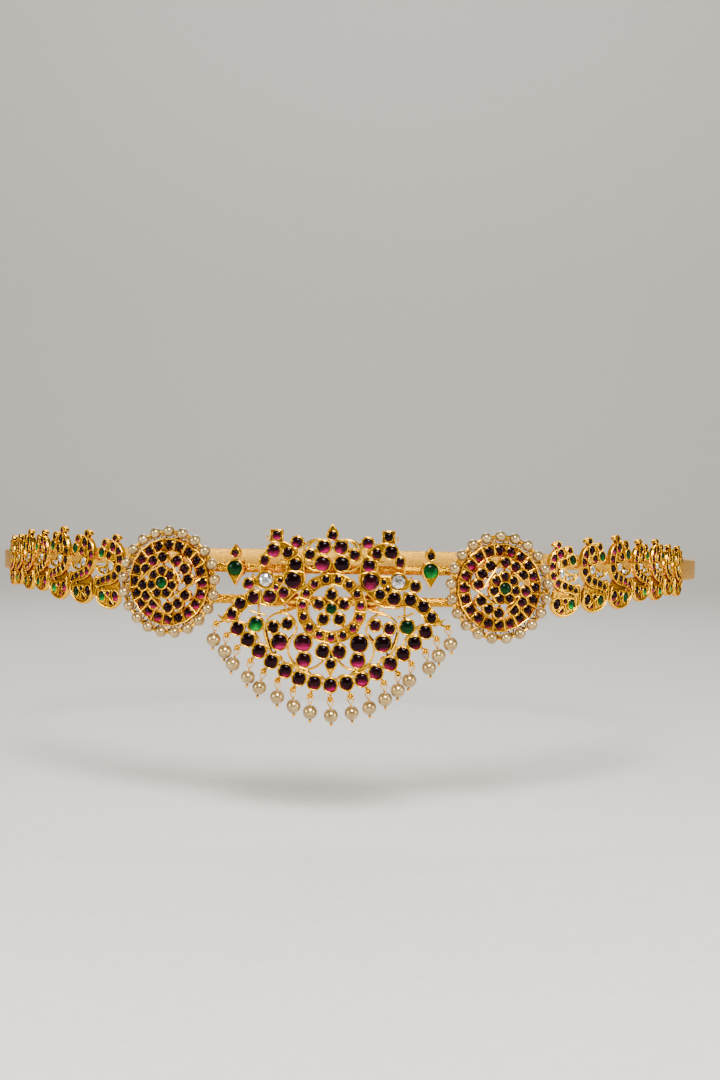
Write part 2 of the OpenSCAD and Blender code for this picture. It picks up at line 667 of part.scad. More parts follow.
LINK_SEATS = [[-5.1, 44.6, 2.4], [11, 36.5, 2.6], [-12.7, 28.4, 2.8], [-16.2, 19.2, 3], [-16, 4.4, 3.2],
              [-9.7, -5.7, 3.2], [-0.4, -10, 3], [8.4, -14.4, 2.6], [15.2, -19.2, 2.4], [0.8, 21.7, 2.8],
              [-2.1, 6.1, 4], [6.3, 1.2, 2.8], [-14.3, -32.7, 4], [7.2, -36.1, 4.4], [-1.9, -31.1, 2.6],
              [-7.4, -43.6, 2.6]];

module link_outline(h) {
    u = h / 100;
    for (c = LINK_OUTLINE) at2(c * u) circle(c[2] * u);
    for (b = LINK_BARS) bar([b[0], b[1]] * u, [b[2], b[3]] * u, b[4] * u);
    for (p = LINK_POINTS) polygon(p * u);
    for (o = LINK_OVALS) oval([o[0], o[1]] * u, o[2] * u, o[3] * u);
    arc_wire([LINK_RIM[0], LINK_RIM[1]] * u, LINK_RIM[2] * u, LINK_RIM[3], LINK_RIM[4], LINK_RIM[5] * u);
}

module link_seats(h) {
    u = h / 100;
    for (c = LINK_SEATS) at2(c * u) circle(c[2] * u);
    oval([LINK_OVALS[0][0], LINK_OVALS[0][1]] * u, 3 * u, 1.8 * u);
    oval([LINK_OVALS[1][0], LINK_OVALS[1][1]] * u, 3.8 * u, 2 * u);
}

function link_height(i) = i <= 3 ? link_large : i <= 5 ? link_medium : link_small;
function link_room(i) = link_height(i) * link_pitch;
// Arc length from the medallion's middle to the jump rings after link i
function joint_s(i) = i == 0 ? first_ring : joint_s(i - 1) + link_room(i);
function link_s(i) = joint_s(i) - link_room(i) / 2;

module link(i) color(GOLD) {
    s = link_s(i);
    h = link_height(i);
    on_belt(medallion_s + s, climb(s), slope(s)) {
        translate([0, 0, back_z]) cell_plate(link_t) {
            link_outline(h);
            link_seats(h);
        }
        for (x = [-1, 1], y = [-1, 1]) translate([x * (link_room(i) / 2 - jump_r), y * ear_z, back_z])
            link_ear();
    }
}

// An ear is a wire ring on a short post at the back of a link
module link_ear() {
    translate([0, 0, -ear_depth]) rotate([90, 0, 0]) torus(ear_r, jump_d);
}

module link_rings() color(GOLD)
    for (i = [0:LINKS], y = [-1, 1]) {
        s = joint_s(i);
        on_belt(medallion_s + s, climb(s), slope(s)) translate([0, y * ear_z, back_z - ear_depth + 0.1])
            torus(jump_r, jump_d);
    }

module link_rings_right() link_rings();
module link_rings_left() mirror([1, 0, 0]) link_rings();

// The strap starts at its own ears behind the last link and runs level to the back
strap_s = medallion_s + joint_s(LINKS) + 0.4;
strap_z = climb(joint_s(LINKS));
half_length = corner_s + arc_length(back_r, 180 - corner_turn);

module strap_arc(p, r, s_from, s_to, w, h) {
    // Middle of the arc that passes p in direction p[2]
    translate([p[0] - r * sin(p[2]), p[1] + r * cos(p[2]), strap_z])
        rotate([0, 0, p[2] - 90 + (s_from / r) * 180 / PI])
            rotate_extrude(angle = (s_to - s_from) / r * 180 / PI, $fn = PLAN_SIDES)
                translate([r, 0]) square([w, h], center = true);
}

// The corner's stretch is a shade slimmer and laps into its neighbours, where it is soldered
lap = 0.5;

module strap() color(GOLD) {
    strap_arc(HIP, side_r, strap_s - medallion_s, hip_s - medallion_s, strap_t, strap_h);
    strap_arc(SIDE, corner_r, -lap, corner_s - hip_s + lap, strap_t - lap / 5, strap_h - lap / 5);
    strap_arc(CORNER, back_r, 0, half_length - corner_s - clasp_l / 8, strap_t, strap_h);
    strap_ears();
}

module strap_ears() {
    s = joint_s(LINKS);
    on_belt(medallion_s + s, climb(s), slope(s)) for (y = [-1, 1])
        translate([jump_r, y * ear_z, back_z]) {
            link_ear();
            translate([-ear_r, -0.8 - y * 0.6, -back_z - strap_t / 2]) cube([ear_r * 2, 1.6, back_z + strap_t / 2 - 2 * ear_r]);
        }
}

module strap_right() strap();
module strap_left() mirror([1, 0, 0]) strap();

module clasp() color(GOLD) {
    start = half_length - corner_s - clasp_l / 2;
    outer = 2 * (clasp_gap + clasp_w);
    difference() {
        strap_arc(CORNER, back_r, start, start + clasp_l, strap_t + outer, strap_h + outer);
        strap_arc(CORNER, back_r, start - 1, start + clasp_l + 1, strap_t + 2 * clasp_gap, strap_h + 2 * clasp_gap);
    }
}

pendant_frame();
pendant_garnets_upper();
pendant_garnets_lower();
pendant_emeralds();
pendant_clear_stones();
drop_pins();
drop_pearls();
rope_upper();
rope_lower();
slider_left();
slider_right();
slider_stones();
medallion_left();
medallion_right();
medallion_stones_left();
medallion_stones_right();
rim_pearls_left();
rim_pearls_right();
pearl_wire_left();
pearl_wire_right();
mirror([1, 0, 0]) link(1);  // link_left_1
mirror([1, 0, 0]) link(2);  // link_left_2
mirror([1, 0, 0]) link(3);  // link_left_3
mirror([1, 0, 0]) link(4);  // link_left_4
mirror([1, 0, 0]) link(5);  // link_left_5
mirror([1, 0, 0]) link(6);  // link_left_6
mirror([1, 0, 0]) link(7);  // link_left_7
link(1);  // link_right_1
link(2);  // link_right_2
link(3);  // link_right_3
link(4);  // link_right_4
link(5);  // link_right_5
link(6);  // link_right_6
link(7);  // link_right_7
link_rings_left();
link_rings_right();
strap_left();
strap_right();
clasp();
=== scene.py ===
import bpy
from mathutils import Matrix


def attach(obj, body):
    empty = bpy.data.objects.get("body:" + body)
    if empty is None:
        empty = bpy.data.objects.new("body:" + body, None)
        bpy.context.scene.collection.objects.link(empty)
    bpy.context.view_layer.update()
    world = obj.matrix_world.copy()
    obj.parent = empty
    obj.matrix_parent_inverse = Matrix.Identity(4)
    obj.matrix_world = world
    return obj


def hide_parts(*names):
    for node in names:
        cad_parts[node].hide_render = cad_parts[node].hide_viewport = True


bl_info = {
    "name": "Oddiyanam waist belt",
    "version": (1, 0, 0),
    "blender": (4, 5, 0),
    "location": "3D View > Sidebar > Waist belt",
    "description": "Dresses the solids of a gem-set waist belt with cells, cabochons, pearls and ropes",
    "category": "Object",
}

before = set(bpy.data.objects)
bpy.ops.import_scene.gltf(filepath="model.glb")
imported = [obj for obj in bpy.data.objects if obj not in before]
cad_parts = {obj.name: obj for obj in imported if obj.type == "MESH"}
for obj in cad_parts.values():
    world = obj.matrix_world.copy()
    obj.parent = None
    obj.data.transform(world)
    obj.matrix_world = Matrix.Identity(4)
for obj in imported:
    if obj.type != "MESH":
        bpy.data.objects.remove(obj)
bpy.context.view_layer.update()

import math

import bpy
from bpy.props import FloatProperty, FloatVectorProperty, PointerProperty
from mathutils import Matrix, Vector

MM = 0.001

# The plan of the belt, in millimetres, as the solids have it
WAIST_DEPTH = 218
FRONT_R = 204
SIDE_R = 124
CORNER_TURN = 150
HIP_RISE = 6
HIP_SPAN = 140
PENDANT_W = 78
UNIT = PENDANT_W / 100
RING_DROP = 7.7
BACK_Z = 2.15
BED = 0.42
ROPE_Z = 5.5
SLIDER_S = 33.3
MEDALLION_D = 31.6
MEDALLION_S = 57.6
CUP_S = MEDALLION_S - 0.4 * MEDALLION_D
STRAP_Z = 4.67
LINK_HEIGHTS = (26.6, 26.6, 26.6, 22.7, 22.7, 19.3, 19.3)
LINK_S = (25.05, 38.35, 51.65, 63.98, 75.33, 85.83, 95.48)
# The eyes that the jump rings join lie this far above and below the middle
EYE_UP = 4.6


def arc_to(start, radius, length):
    """Point and direction at the end of an arc of the plan"""
    x, y, turn = start
    end = turn + length / radius
    return x + radius * (math.sin(end) - math.sin(turn)), y + radius * (math.cos(turn) - math.cos(end)), end


class Plan:
    """Four arcs make half of the loop, from the middle of the front to the middle of the back"""
    front = (0.0, -WAIST_DEPTH / 2, 0.0)
    hip = arc_to(front, FRONT_R, MEDALLION_S)
    hip_s = MEDALLION_S + SIDE_R * (math.pi / 2 - hip[2])
    side = arc_to(hip, SIDE_R, hip_s - MEDALLION_S)
    turn = math.radians(CORNER_TURN)
    gap = WAIST_DEPTH / 2 - side[1]
    closing = (1 - math.sin(turn)) * (1 + math.cos(turn)) + math.sin(turn) * math.cos(turn)
    corner_r = (side[0] * (1 + math.cos(turn)) - math.sin(turn) * gap) / closing
    back_r = ((1 - math.sin(turn)) * gap + math.cos(turn) * side[0]) / closing
    corner_s = hip_s + corner_r * (turn - math.pi / 2)
    corner = arc_to(side, corner_r, corner_s - hip_s)
    half_length = corner_s + back_r * (math.pi - turn)

    @classmethod
    def at(cls, s):
        if s < MEDALLION_S:
            return arc_to(cls.front, FRONT_R, s)
        if s < cls.hip_s:
            return arc_to(cls.hip, SIDE_R, s - MEDALLION_S)
        if s < cls.corner_s:
            return arc_to(cls.side, cls.corner_r, s - cls.hip_s)
        return arc_to(cls.corner, cls.back_r, s - cls.corner_s)


def on_belt(s, height=0.0, roll=0.0, out=BACK_Z, side=1):
    """Place on the belt's outside: x along the belt, y up and z away from the waist, in mm"""
    x, y, turn = Plan.at(s)
    place = Matrix.Translation((x, y, height)) @ Matrix.Rotation(turn, 4, "Z")
    place = place @ Matrix.Rotation(math.pi / 2, 4, "X") @ Matrix.Rotation(roll, 4, "Z")
    place = place @ Matrix.Translation((0, 0, out))
    return Matrix.Scale(MM, 4) @ Matrix.Diagonal((side, 1, 1, 1)) @ place


def hip_line(s):
    """Height and slope of the chain where it climbs over the hip, s mm behind the medallion's middle"""
    turn = math.pi * s / HIP_SPAN
    return HIP_RISE * math.sin(turn), math.atan(HIP_RISE * math.pi / HIP_SPAN * math.cos(turn))


def in_pendant(side=1):
    """Place of the pendant's ring: x right, y up and z towards the front, in mm"""
    place = (Matrix.Translation((0, -WAIST_DEPTH / 2 - BACK_Z, -RING_DROP))
             @ Matrix.Rotation(math.pi / 2, 4, "X"))
    return Matrix.Scale(MM, 4) @ Matrix.Diagonal((side, 1, 1, 1)) @ place


# Bench tools
def alone(ob):
    bpy.ops.object.select_all(action="DESELECT")
    ob.select_set(True)
    bpy.context.view_layer.objects.active = ob
    return ob


def joined(parts):
    """Several pieces soldered into one mesh"""
    bpy.ops.object.select_all(action="DESELECT")
    for ob in parts:
        ob.select_set(True)
    bpy.context.view_layer.objects.active = parts[0]
    if len(parts) > 1:
        bpy.ops.object.join()
    return bpy.context.view_layer.objects.active


def copied(ob, place=Matrix.Identity(4)):
    """A copy with its own mesh, moved in its mesh"""
    twin = ob.copy()
    twin.data = ob.data.copy()
    bpy.context.scene.collection.objects.link(twin)
    twin.data.transform(place)
    if place.determinant() < 0:
        twin.data.flip_normals()
    return twin


def bent(lines, thick, tall=0.0, closed=False, sides=1):
    """Wire along each line of points, or a strip on edge if tall is given. A point is x, y, z and swelling"""
    bpy.ops.object.select_all(action="DESELECT")
    bpy.ops.curve.primitive_nurbs_path_add(location=(0, 0, 0))
    ob = bpy.context.object
    curve = ob.data
    curve.splines.clear()
    curve.twist_mode = "Z_UP"
    for line in lines:
        spline = curve.splines.new("POLY")
        spline.points.add(len(line) - 1)
        for point, place in zip(spline.points, line):
            place = tuple(place) + (0.0, 1.0)[len(place) - 2:]
            point.co = (*place[:3], 1)
            point.radius = place[3]
        spline.use_cyclic_u = closed
        spline.use_smooth = True
    curve.bevel_depth = thick / 2
    curve.bevel_resolution = sides
    curve.extrude = tall / 2
    curve.use_fill_caps = not closed
    bpy.ops.object.convert(target="MESH")
    return bpy.context.object


def plates(loops, low, high):
    """Flat plates with the loops as outlines, each a hair lower than the last so that laps don't flicker"""
    made = []
    for i, loop in enumerate(loops):
        bpy.ops.mesh.primitive_circle_add(vertices=len(loop), fill_type="NGON")
        ob = bpy.context.object
        for vertex, place in zip(ob.data.vertices, loop):
            vertex.co = (place[0], place[1], low - 0.004 * (i % 9))
        made.append(ob)
    ob = alone(joined(made))
    bpy.ops.object.mode_set(mode="EDIT")
    bpy.ops.mesh.select_all(action="SELECT")
    bpy.ops.mesh.extrude_region_move(TRANSFORM_OT_translate={"value": (0, 0, high - low)})
    bpy.ops.mesh.select_all(action="SELECT")
    bpy.ops.mesh.normals_make_consistent(inside=False)
    bpy.ops.object.mode_set(mode="OBJECT")
    return ob


def fence(lines, top, wall, low=0.0, closed=False, sides=1):
    """Strips of gold that stand on edge along the lines"""
    strip = bent([at_height(line, 0) for line in lines], wall, top - low - wall, closed, sides)
    strip.data.transform(Matrix.Translation((0, 0, (top + low) / 2)))
    return strip


def cells(loops, top, wall, low=0.0):
    """Closed-back cells: a thin wall along each loop, packed with gold to a bed just below its rim"""
    return [fence(loops, top, wall, low, True), plates(loops, low, top - BED)]


def repeated(model, places):
    """The model copied to each place and joined. The model itself goes"""
    made = [copied(model, place) for place in places]
    bpy.data.objects.remove(model)
    return joined(made)


def eye(x, y, z, n=20):
    """Centre line of a small ring that a jump ring goes through"""
    return [(x + 0.85 * math.cos(b), y, z + 0.85 * math.sin(b))
            for b in (2 * math.pi * k / n for k in range(n))]


def sleeve(place):
    """A short tube round a rope, along the belt"""
    tube = bent([ring(0, 0, 2.4, n=28)], 0.9, 3.1, closed=True, sides=2)
    tube.data.transform(place @ Matrix.Rotation(math.pi / 2, 4, "Y"))
    return tube


def in_mm(point):
    return tuple(v / MM for v in point)


def finished(parts, name, place, paint, replaces=(), angle=50):
    """Joins a piece, puts it in its place and hands it to the frame"""
    ob = alone(joined(parts))
    ob.data.transform(place)
    if place.determinant() < 0:
        ob.data.flip_normals()
    ob.name = name
    ob.data.name = name
    bpy.ops.object.shade_smooth_by_angle(angle=math.radians(angle))
    ob.data.materials.clear()
    ob.data.materials.append(paint)
    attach(ob, "root")
    if replaces:
        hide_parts(*replaces)
    return ob


# Outlines
def ring(x, y, rx, ry=None, turn=0.0, n=24):
    ry = rx if ry is None else ry
    c, s = math.cos(math.radians(turn)), math.sin(math.radians(turn))
    out = []
    for i in range(n):
        a = 2 * math.pi * i / n
        px, py = rx * math.cos(a), ry * math.sin(a)
        out.append((x + px * c - py * s, y + px * s + py * c))
    return out


def smooth(points, closed=False, steps=4):
    """A soft line through the points, which may carry z and swelling too"""
    n = len(points)
    out = []
    for i in range(n if closed else n - 1):
        quad = [points[(i + k) % n] if closed else points[min(max(i + k, 0), n - 1)] for k in (-1, 0, 1, 2)]
        for j in range(steps):
            t = j / steps
            w = (-t + 2 * t * t - t ** 3, 2 - 5 * t * t + 3 * t ** 3, t + 4 * t * t - 3 * t ** 3,
                 t ** 3 - t * t)
            out.append(tuple(sum(w[k] * quad[k][m] for k in range(4)) / 2 for m in range(len(points[0]))))
    if not closed:
        out.append(tuple(points[-1]))
    return out


def teardrop(x, y, r, tip, n=18):
    """Round cell drawn out to a point at tip"""
    dx, dy = tip[0] - x, tip[1] - y
    far = math.hypot(dx, dy)
    lead = math.atan2(dy, dx)
    open_a = math.acos(min(1, r / far)) * 0.9
    out = [tip]
    for i in range(n + 1):
        a = lead + open_a + (2 * math.pi - 2 * open_a) * i / n
        out.append((x + r * math.cos(a), y + r * math.sin(a)))
    return out


def polar(r, degrees, z=0.0):
    a = math.radians(degrees)
    return r * math.cos(a), r * math.sin(a), z


def arc(x, y, r, a, b, n=16, swell=None, z=0.0, grow=0.0):
    """Points of an arc. swell gives the thickness at its ends and middle, grow widens it along its way"""
    out = []
    for i in range(n + 1):
        t = i / n
        rr = r + grow * t
        px, py, _ = polar(rr, a + (b - a) * t)
        size = 1.0 if swell is None else swell[0] + (swell[1] - swell[0]) * math.sin(math.pi * t)
        out.append((x + px, y + py, z, size))
    return out


def sized(points, unit):
    return [tuple(v * unit for v in p[:2]) + tuple(p[2:]) for p in points]


def at_height(points, z):
    return [(p[0], p[1], z) + tuple(p[3:]) for p in points]


# Finishes
def linear(hex_colour):
    """sRGB hex to the linear values that the shaders take"""
    out = []
    for i in (1, 3, 5):
        c = int(hex_colour[i:i + 2], 16) / 255
        out.append(c / 12.92 if c <= 0.04045 else ((c + 0.055) / 1.055) ** 2.4)
    return (*out, 1)


def grain(size_mm):
    """Scale of a pattern whose marks are size_mm across"""
    return 1 / (size_mm * MM)


def add(tree, kind, inputs=(), **settings):
    """Adds one node with its settings, and sets or links its inputs"""
    node = tree.nodes.new("ShaderNode" + kind)
    for key, value in settings.items():
        setattr(node, key, value)
    for key, value in dict(inputs).items():
        if isinstance(value, bpy.types.NodeSocket):
            tree.links.new(value, node.inputs[key])
        else:
            node.inputs[key].default_value = value
    return node


def shader(name):
    """A new material with its Principled shader and object coordinates"""
    paint = bpy.data.materials.new(name)
    paint.use_nodes = True
    tree = paint.node_tree
    body = next(n for n in tree.nodes if n.type == "BSDF_PRINCIPLED")
    return paint, tree, body, add(tree, "TexCoord")


def bands(tree, value, stops):
    """A ramp from one colour to the next at each place"""
    ramp = add(tree, "ValToRGB", {"Fac": value})
    while len(ramp.color_ramp.elements) < len(stops):
        ramp.color_ramp.elements.new(0.5)
    for element, (place, colour) in zip(ramp.color_ramp.elements, stops):
        element.position = place
        element.color = linear(colour) if isinstance(colour, str) else colour
    return ramp.outputs["Color"]


def tint(name, description, hex_colour):
    """A colour of the sidebar"""
    return FloatVectorProperty(name=name, description=description, default=linear(hex_colour), size=4, min=0,
                               max=1, subtype="COLOR")


def length(name, description, mm, low, high):
    """A length of the sidebar, given in millimetres"""
    return FloatProperty(name=name, description=description, default=mm * MM, min=low * MM, max=high * MM,
                         unit="LENGTH", precision=5)


def power(name, description, watts):
    """A light's power in the sidebar"""
    return FloatProperty(name=name, description=description, default=watts, min=0, max=100, unit="POWER")


class BELT_PG_finishes(bpy.types.PropertyGroup):
    # The three gold colours form a ramp driven by ambient occlusion: gold is the metal's own colour, the
    # flanks colour is painted half shade, and the low places colour is painted shade in corners, recesses and
    # between parts
    gold: tint("Gold", "Polished gold where it stands proud", "#F8BA00")
    gold_painted_half_shade: tint("Gold, flanks", "Polished gold on the flanks of walls and wires", "#9C5E00")
    gold_painted_shade: tint("Gold, low places", "Polished gold in corners that polish doesn't reach", "#2C1500")
    # The red and green glow colours are painted light: the bright lower edge that a stone shows when lit from
    # above
    ruby_painted_glow: tint("Ruby glass, glow", "Lower edge of a red stone, where its foil shines through", "#A00850")
    ruby: tint("Ruby glass", "Body of a red stone", "#1C0509")
    green_painted_glow: tint("Green glass, glow", "Lower edge of a green stone, where its foil shines through",
                     "#0E9636")
    green: tint("Green glass", "Body of a green stone", "#053010")
    pearl: tint("Pearl", "Cream nacre of the pearls", "#AA8C52")
    paper: tint("Ground", "Pale card under and behind the belt", "#DAD6CE")


def cast_gold():
    """22 karat gold, hand made and tumble polished: warm and bright, with soft waves, and painted shade that
    darkens corners, recesses and the gaps between parts
    """
    paint, tree, body, place = shader("polished_22k_gold")
    paints = bpy.context.scene.belt_finishes
    waves = add(tree, "TexNoise", {"Vector": place.outputs["Object"], "Scale": grain(1.6), "Detail": 3.0})
    specks = add(tree, "TexNoise", {"Vector": place.outputs["Object"], "Scale": grain(0.16), "Detail": 2.0})
    # Ambient occlusion picks the colour: painted shade where other gold lies close, and the metal's own
    # colour in the open
    low = add(tree, "AmbientOcclusion", {"Distance": 1.1 * MM}, samples=6)
    tone = bands(tree, low.outputs["AO"],
                 [(0.26, paints.gold_painted_shade), (0.64, paints.gold_painted_half_shade), (0.96, paints.gold)])
    tree.links.new(tone, body.inputs["Base Color"])
    body.inputs["Metallic"].default_value = 1.0
    # Gold stays yellow where it is seen along its edges
    body.inputs["Specular Tint"].default_value = linear("#FFB014")
    rough = add(tree, "MapRange", {"Value": waves.outputs["Fac"], "To Min": 0.1, "To Max": 0.24})
    tree.links.new(rough.outputs["Result"], body.inputs["Roughness"])
    soft = add(tree, "Bump", {"Height": waves.outputs["Fac"], "Strength": 0.6, "Distance": 0.2 * MM})
    fine = add(tree, "Bump", {"Height": specks.outputs["Fac"], "Strength": 0.25, "Distance": 0.02 * MM,
                              "Normal": soft.outputs["Normal"]})
    tree.links.new(fine.outputs["Normal"], body.inputs["Normal"])
    return paint


def stippled_gold():
    """Gold sheet, stippled with a punch and left matt: rows of tiny pits, paler and softer than the cells"""
    paint, tree, body, place = shader("stippled_matt_gold")
    # Pits of a fine punch are 0.3 mm; drawn at 0.45 mm so that they show
    pits = add(tree, "TexVoronoi", {"Vector": place.outputs["Object"], "Scale": grain(0.45)})
    # The bottom of each pit is painted dark brown and its rim bright: painted shade in the pits
    tone = bands(tree, pits.outputs["Distance"], [(0.0, "#70440A"), (0.45, "#CC9228"), (1.0, "#F0BE4C")])
    tree.links.new(tone, body.inputs["Base Color"])
    body.inputs["Metallic"].default_value = 1.0
    body.inputs["Roughness"].default_value = 0.42
    bump = add(tree, "Bump", {"Height": pits.outputs["Distance"], "Strength": 0.9, "Distance": 0.16 * MM})
    tree.links.new(bump.outputs["Normal"], body.inputs["Normal"])
    return paint


def kemp(name, stops, tint):
    """Foil-backed glass, moulded and fire polished: nearly black, with a painted glow along the lower edge
    and painted darkening towards the top
    """
    paint, tree, body, place = shader(name)
    # Height on the stone picks the colour: painted glow along the lower edge, painted darkening towards the
    # top
    split = add(tree, "SeparateXYZ", {"Vector": place.outputs["UV"]})
    # Noise that jitters where the painted glow ends
    foil = add(tree, "TexNoise", {"Vector": place.outputs["Object"], "Scale": grain(1.1), "Detail": 4.0})
    lift = add(tree, "MapRange", {"Value": foil.outputs["Fac"], "To Min": -0.16, "To Max": 0.2})
    height = add(tree, "Math", {0: split.outputs["Y"], 1: lift.outputs["Result"]}, operation="ADD")
    # From stone to stone the painted glow band sits higher or lower, so some stones are painted darker and
    # some brighter
    wide = add(tree, "TexNoise", {"Vector": place.outputs["Object"], "Scale": grain(8), "Detail": 0.0})
    mood = add(tree, "MapRange",
               {"Value": wide.outputs["Fac"], "From Min": 0.35, "From Max": 0.65, "To Min": 0.28,
                                  "To Max": -0.2})
    height = add(tree, "Math", {0: height.outputs["Value"], 1: mood.outputs["Result"]}, operation="ADD")
    tree.links.new(bands(tree, height.outputs["Value"], stops), body.inputs["Base Color"])
    body.inputs["Roughness"].default_value = 0.06
    body.inputs["IOR"].default_value = 1.52
    body.inputs["Specular IOR Level"].default_value = 0.08
    body.inputs["Specular Tint"].default_value = linear(tint)
    return paint


def ruby_glass():
    """Dark maroon body, painted darker towards the top, with a painted magenta glow along the lower edge"""
    paints = bpy.context.scene.belt_finishes
    stops = [(0.02, paints.ruby_painted_glow), (0.16, "#5A0828"), (0.34, paints.ruby), (0.75, "#090203")]
    return kemp("ruby_kemp_glass", stops, "#FFE8F4")


def green_glass():
    """Bottle green body, painted darker towards the top, with a painted clear emerald glow along the lower
    edge
    """
    paints = bpy.context.scene.belt_finishes
    stops = [(0.06, paints.green_painted_glow), (0.22, "#07581C"), (0.46, paints.green), (0.85, "#021406")]
    return kemp("green_kemp_glass", stops, "#EFFFF2")


def cut_glass():
    """Clear cut stone over silver foil, cut with crown facets and a table: its white sparks and dark facets
    are painted on as a random mosaic of cells
    """
    paint, tree, body, place = shader("clear_cut_stone")
    painted_spark_cells = add(tree, "TexVoronoi", {"Vector": place.outputs["Object"], "Scale": grain(0.7)})
    sparks = add(tree, "SeparateXYZ", {"Vector": painted_spark_cells.outputs["Color"]})
    # Random cells painted white, grey or dark: painted sparks and painted facet reflections
    tone = bands(tree, sparks.outputs["X"], [(0.25, "#FFFFFF"), (0.6, "#CDCAC2"), (0.9, "#6A655B")])
    tree.links.new(tone, body.inputs["Base Color"])
    body.inputs["Metallic"].default_value = 0.75
    body.inputs["Roughness"].default_value = 0.06
    body.inputs["Coat Weight"].default_value = 1.0
    body.inputs["Coat IOR"].default_value = 2.0
    return paint


def pearl_skin():
    """Cream freshwater pearl: satin nacre with a soft bloom and faint growth bands"""
    paint, tree, body, place = shader("cream_pearl_nacre")
    nacre = add(tree, "TexNoise", {"Vector": place.outputs["Object"], "Scale": grain(2.2), "Detail": 2.0})
    pearl = bpy.context.scene.belt_finishes.pearl
    tone = bands(tree, nacre.outputs["Fac"], [(0.3, "#907240"), (0.5, pearl), (0.75, "#C4A870")])
    tree.links.new(tone, body.inputs["Base Color"])
    body.inputs["Roughness"].default_value = 0.24
    body.inputs["IOR"].default_value = 1.6
    body.inputs["Metallic"].default_value = 0.75
    body.inputs["Coat Weight"].default_value = 0.8
    body.inputs["Coat Roughness"].default_value = 0.1
    bump = add(tree, "Bump", {"Height": nacre.outputs["Fac"], "Strength": 0.08, "Distance": 0.05 * MM})
    tree.links.new(bump.outputs["Normal"], body.inputs["Normal"])
    return paint


def studio_paper():
    """Matt pale card under and round the belt: an even ground with a faint tooth"""
    paint, tree, body, place = shader("studio_paper")
    tooth = add(tree, "TexNoise", {"Vector": place.outputs["Object"], "Scale": grain(3.0)})
    tone = bands(tree, tooth.outputs["Fac"], [(0.3, bpy.context.scene.belt_finishes.paper), (0.7, "#E0DCD5")])
    tree.links.new(tone, body.inputs["Base Color"])
    body.inputs["Roughness"].default_value = 0.85
    return paint


class Finishes:
    """Each finish is mixed once and then used by every piece that needs it"""
    made = {}

    @classmethod
    def get(cls, make):
        if make.__name__ not in cls.made:
            cls.made[make.__name__] = make()
        return cls.made[make.__name__]


# Stones and small findings, each modelled once and then copied
def cabochon():
    """A dome with a flat back, of unit radius and height. Its UV map holds its face, for the painted glow
    along its lower edge
    """
    bpy.ops.object.select_all(action="DESELECT")
    bpy.ops.mesh.primitive_uv_sphere_add(segments=22, ring_count=10, radius=1)
    ob = bpy.context.object
    bpy.ops.object.mode_set(mode="EDIT")
    bpy.ops.mesh.select_all(action="SELECT")
    bpy.ops.mesh.bisect(plane_co=(0, 0, 0.01), plane_no=(0, 0, 1), use_fill=True, clear_inner=True)
    bpy.ops.object.mode_set(mode="OBJECT")
    face = ob.data.uv_layers.active or ob.data.uv_layers.new()
    for loop in ob.data.loops:
        co = ob.data.vertices[loop.vertex_index].co
        face.data[loop.index].uv = ((co.x + 1) / 2, (co.y + 1) / 2)
    return ob


def lying(row, z):
    """A stone's place at height z, and its radii, from x, y, rx and, where given, ry and an angle"""
    x, y, rx, ry, turn = (*row, *(row[2], 0)[len(row) - 3:])[:5]
    return Matrix.Translation((x, y, z)) @ Matrix.Rotation(math.radians(turn), 4, "Z"), rx, ry


def set_stones(rows, bed):
    """Cabochons, pressed into the bed of their cells"""
    places = []
    for row in rows:
        place, rx, ry = lying(row, bed + 0.03)
        places.append(place @ Matrix.Diagonal((rx * 1.03, ry * 1.03, 0.35 + 0.33 * min(rx, ry), 1)))
    return repeated(cabochon(), places)


def collars(rows, bed, lip=0.27, rise=0.3):
    """Sloping lips of gold pressed round the stones"""
    bpy.ops.object.select_all(action="DESELECT")
    bpy.ops.mesh.primitive_cone_add(vertices=20, radius1=1, radius2=1, depth=1)
    model = bpy.context.object
    made = []
    for row in rows:
        place, rx, ry = lying(row, bed + rise / 2)
        lip_ring = copied(model, Matrix.Diagonal((rx + lip, ry + lip, rise, 1)))
        for vertex in lip_ring.data.vertices:
            if vertex.co.z > 0:
                vertex.co.x *= rx / (rx + lip)
                vertex.co.y *= ry / (ry + lip)
        lip_ring.data.transform(place)
        made.append(lip_ring)
    bpy.data.objects.remove(model)
    return joined(made)


def cut_stone():
    """A round stone with a table, a crown of facets, a girdle and a short pavilion"""
    bpy.ops.object.select_all(action="DESELECT")
    rings = []
    for sides, radius, z, turn in ((16, 1, 0, 0), (16, 1, 0.08, 0), (8, 0.82, 0.3, math.pi / 8),
                                   (8, 0.56, 0.42, 0), (8, 0.5, -0.3, math.pi / 8)):
        bpy.ops.mesh.primitive_circle_add(vertices=sides, radius=radius, location=(0, 0, z),
                                          rotation=(0, 0, turn))
        rings.append(bpy.context.object)
    for ob in rings:
        ob.data.transform(ob.matrix_world)
        ob.matrix_world = Matrix.Identity(4)
    ob = alone(joined(rings))
    bpy.ops.object.mode_set(mode="EDIT")
    bpy.ops.mesh.select_all(action="SELECT")
    bpy.ops.mesh.convex_hull()
    bpy.ops.object.mode_set(mode="OBJECT")
    return ob


def set_cut_stones(rows, bed):
    places = []
    for row in rows:
        place, rx, ry = lying(row, bed + 0.3 * row[2])
        places.append(place @ Matrix.Diagonal((rx, ry, rx * 1.2, 1)))
    return repeated(cut_stone(), places)


def grains(places, radius):
    """Small melted balls of gold"""
    bpy.ops.object.select_all(action="DESELECT")
    bpy.ops.mesh.primitive_uv_sphere_add(segments=10, ring_count=7, radius=1)
    balls = [(*place, radius)[:4] for place in places]
    return repeated(bpy.context.object, [Matrix.Translation((x, y, z)) @ Matrix.Diagonal((r, r, r * 0.9, 1))
                                         for x, y, z, r in balls])


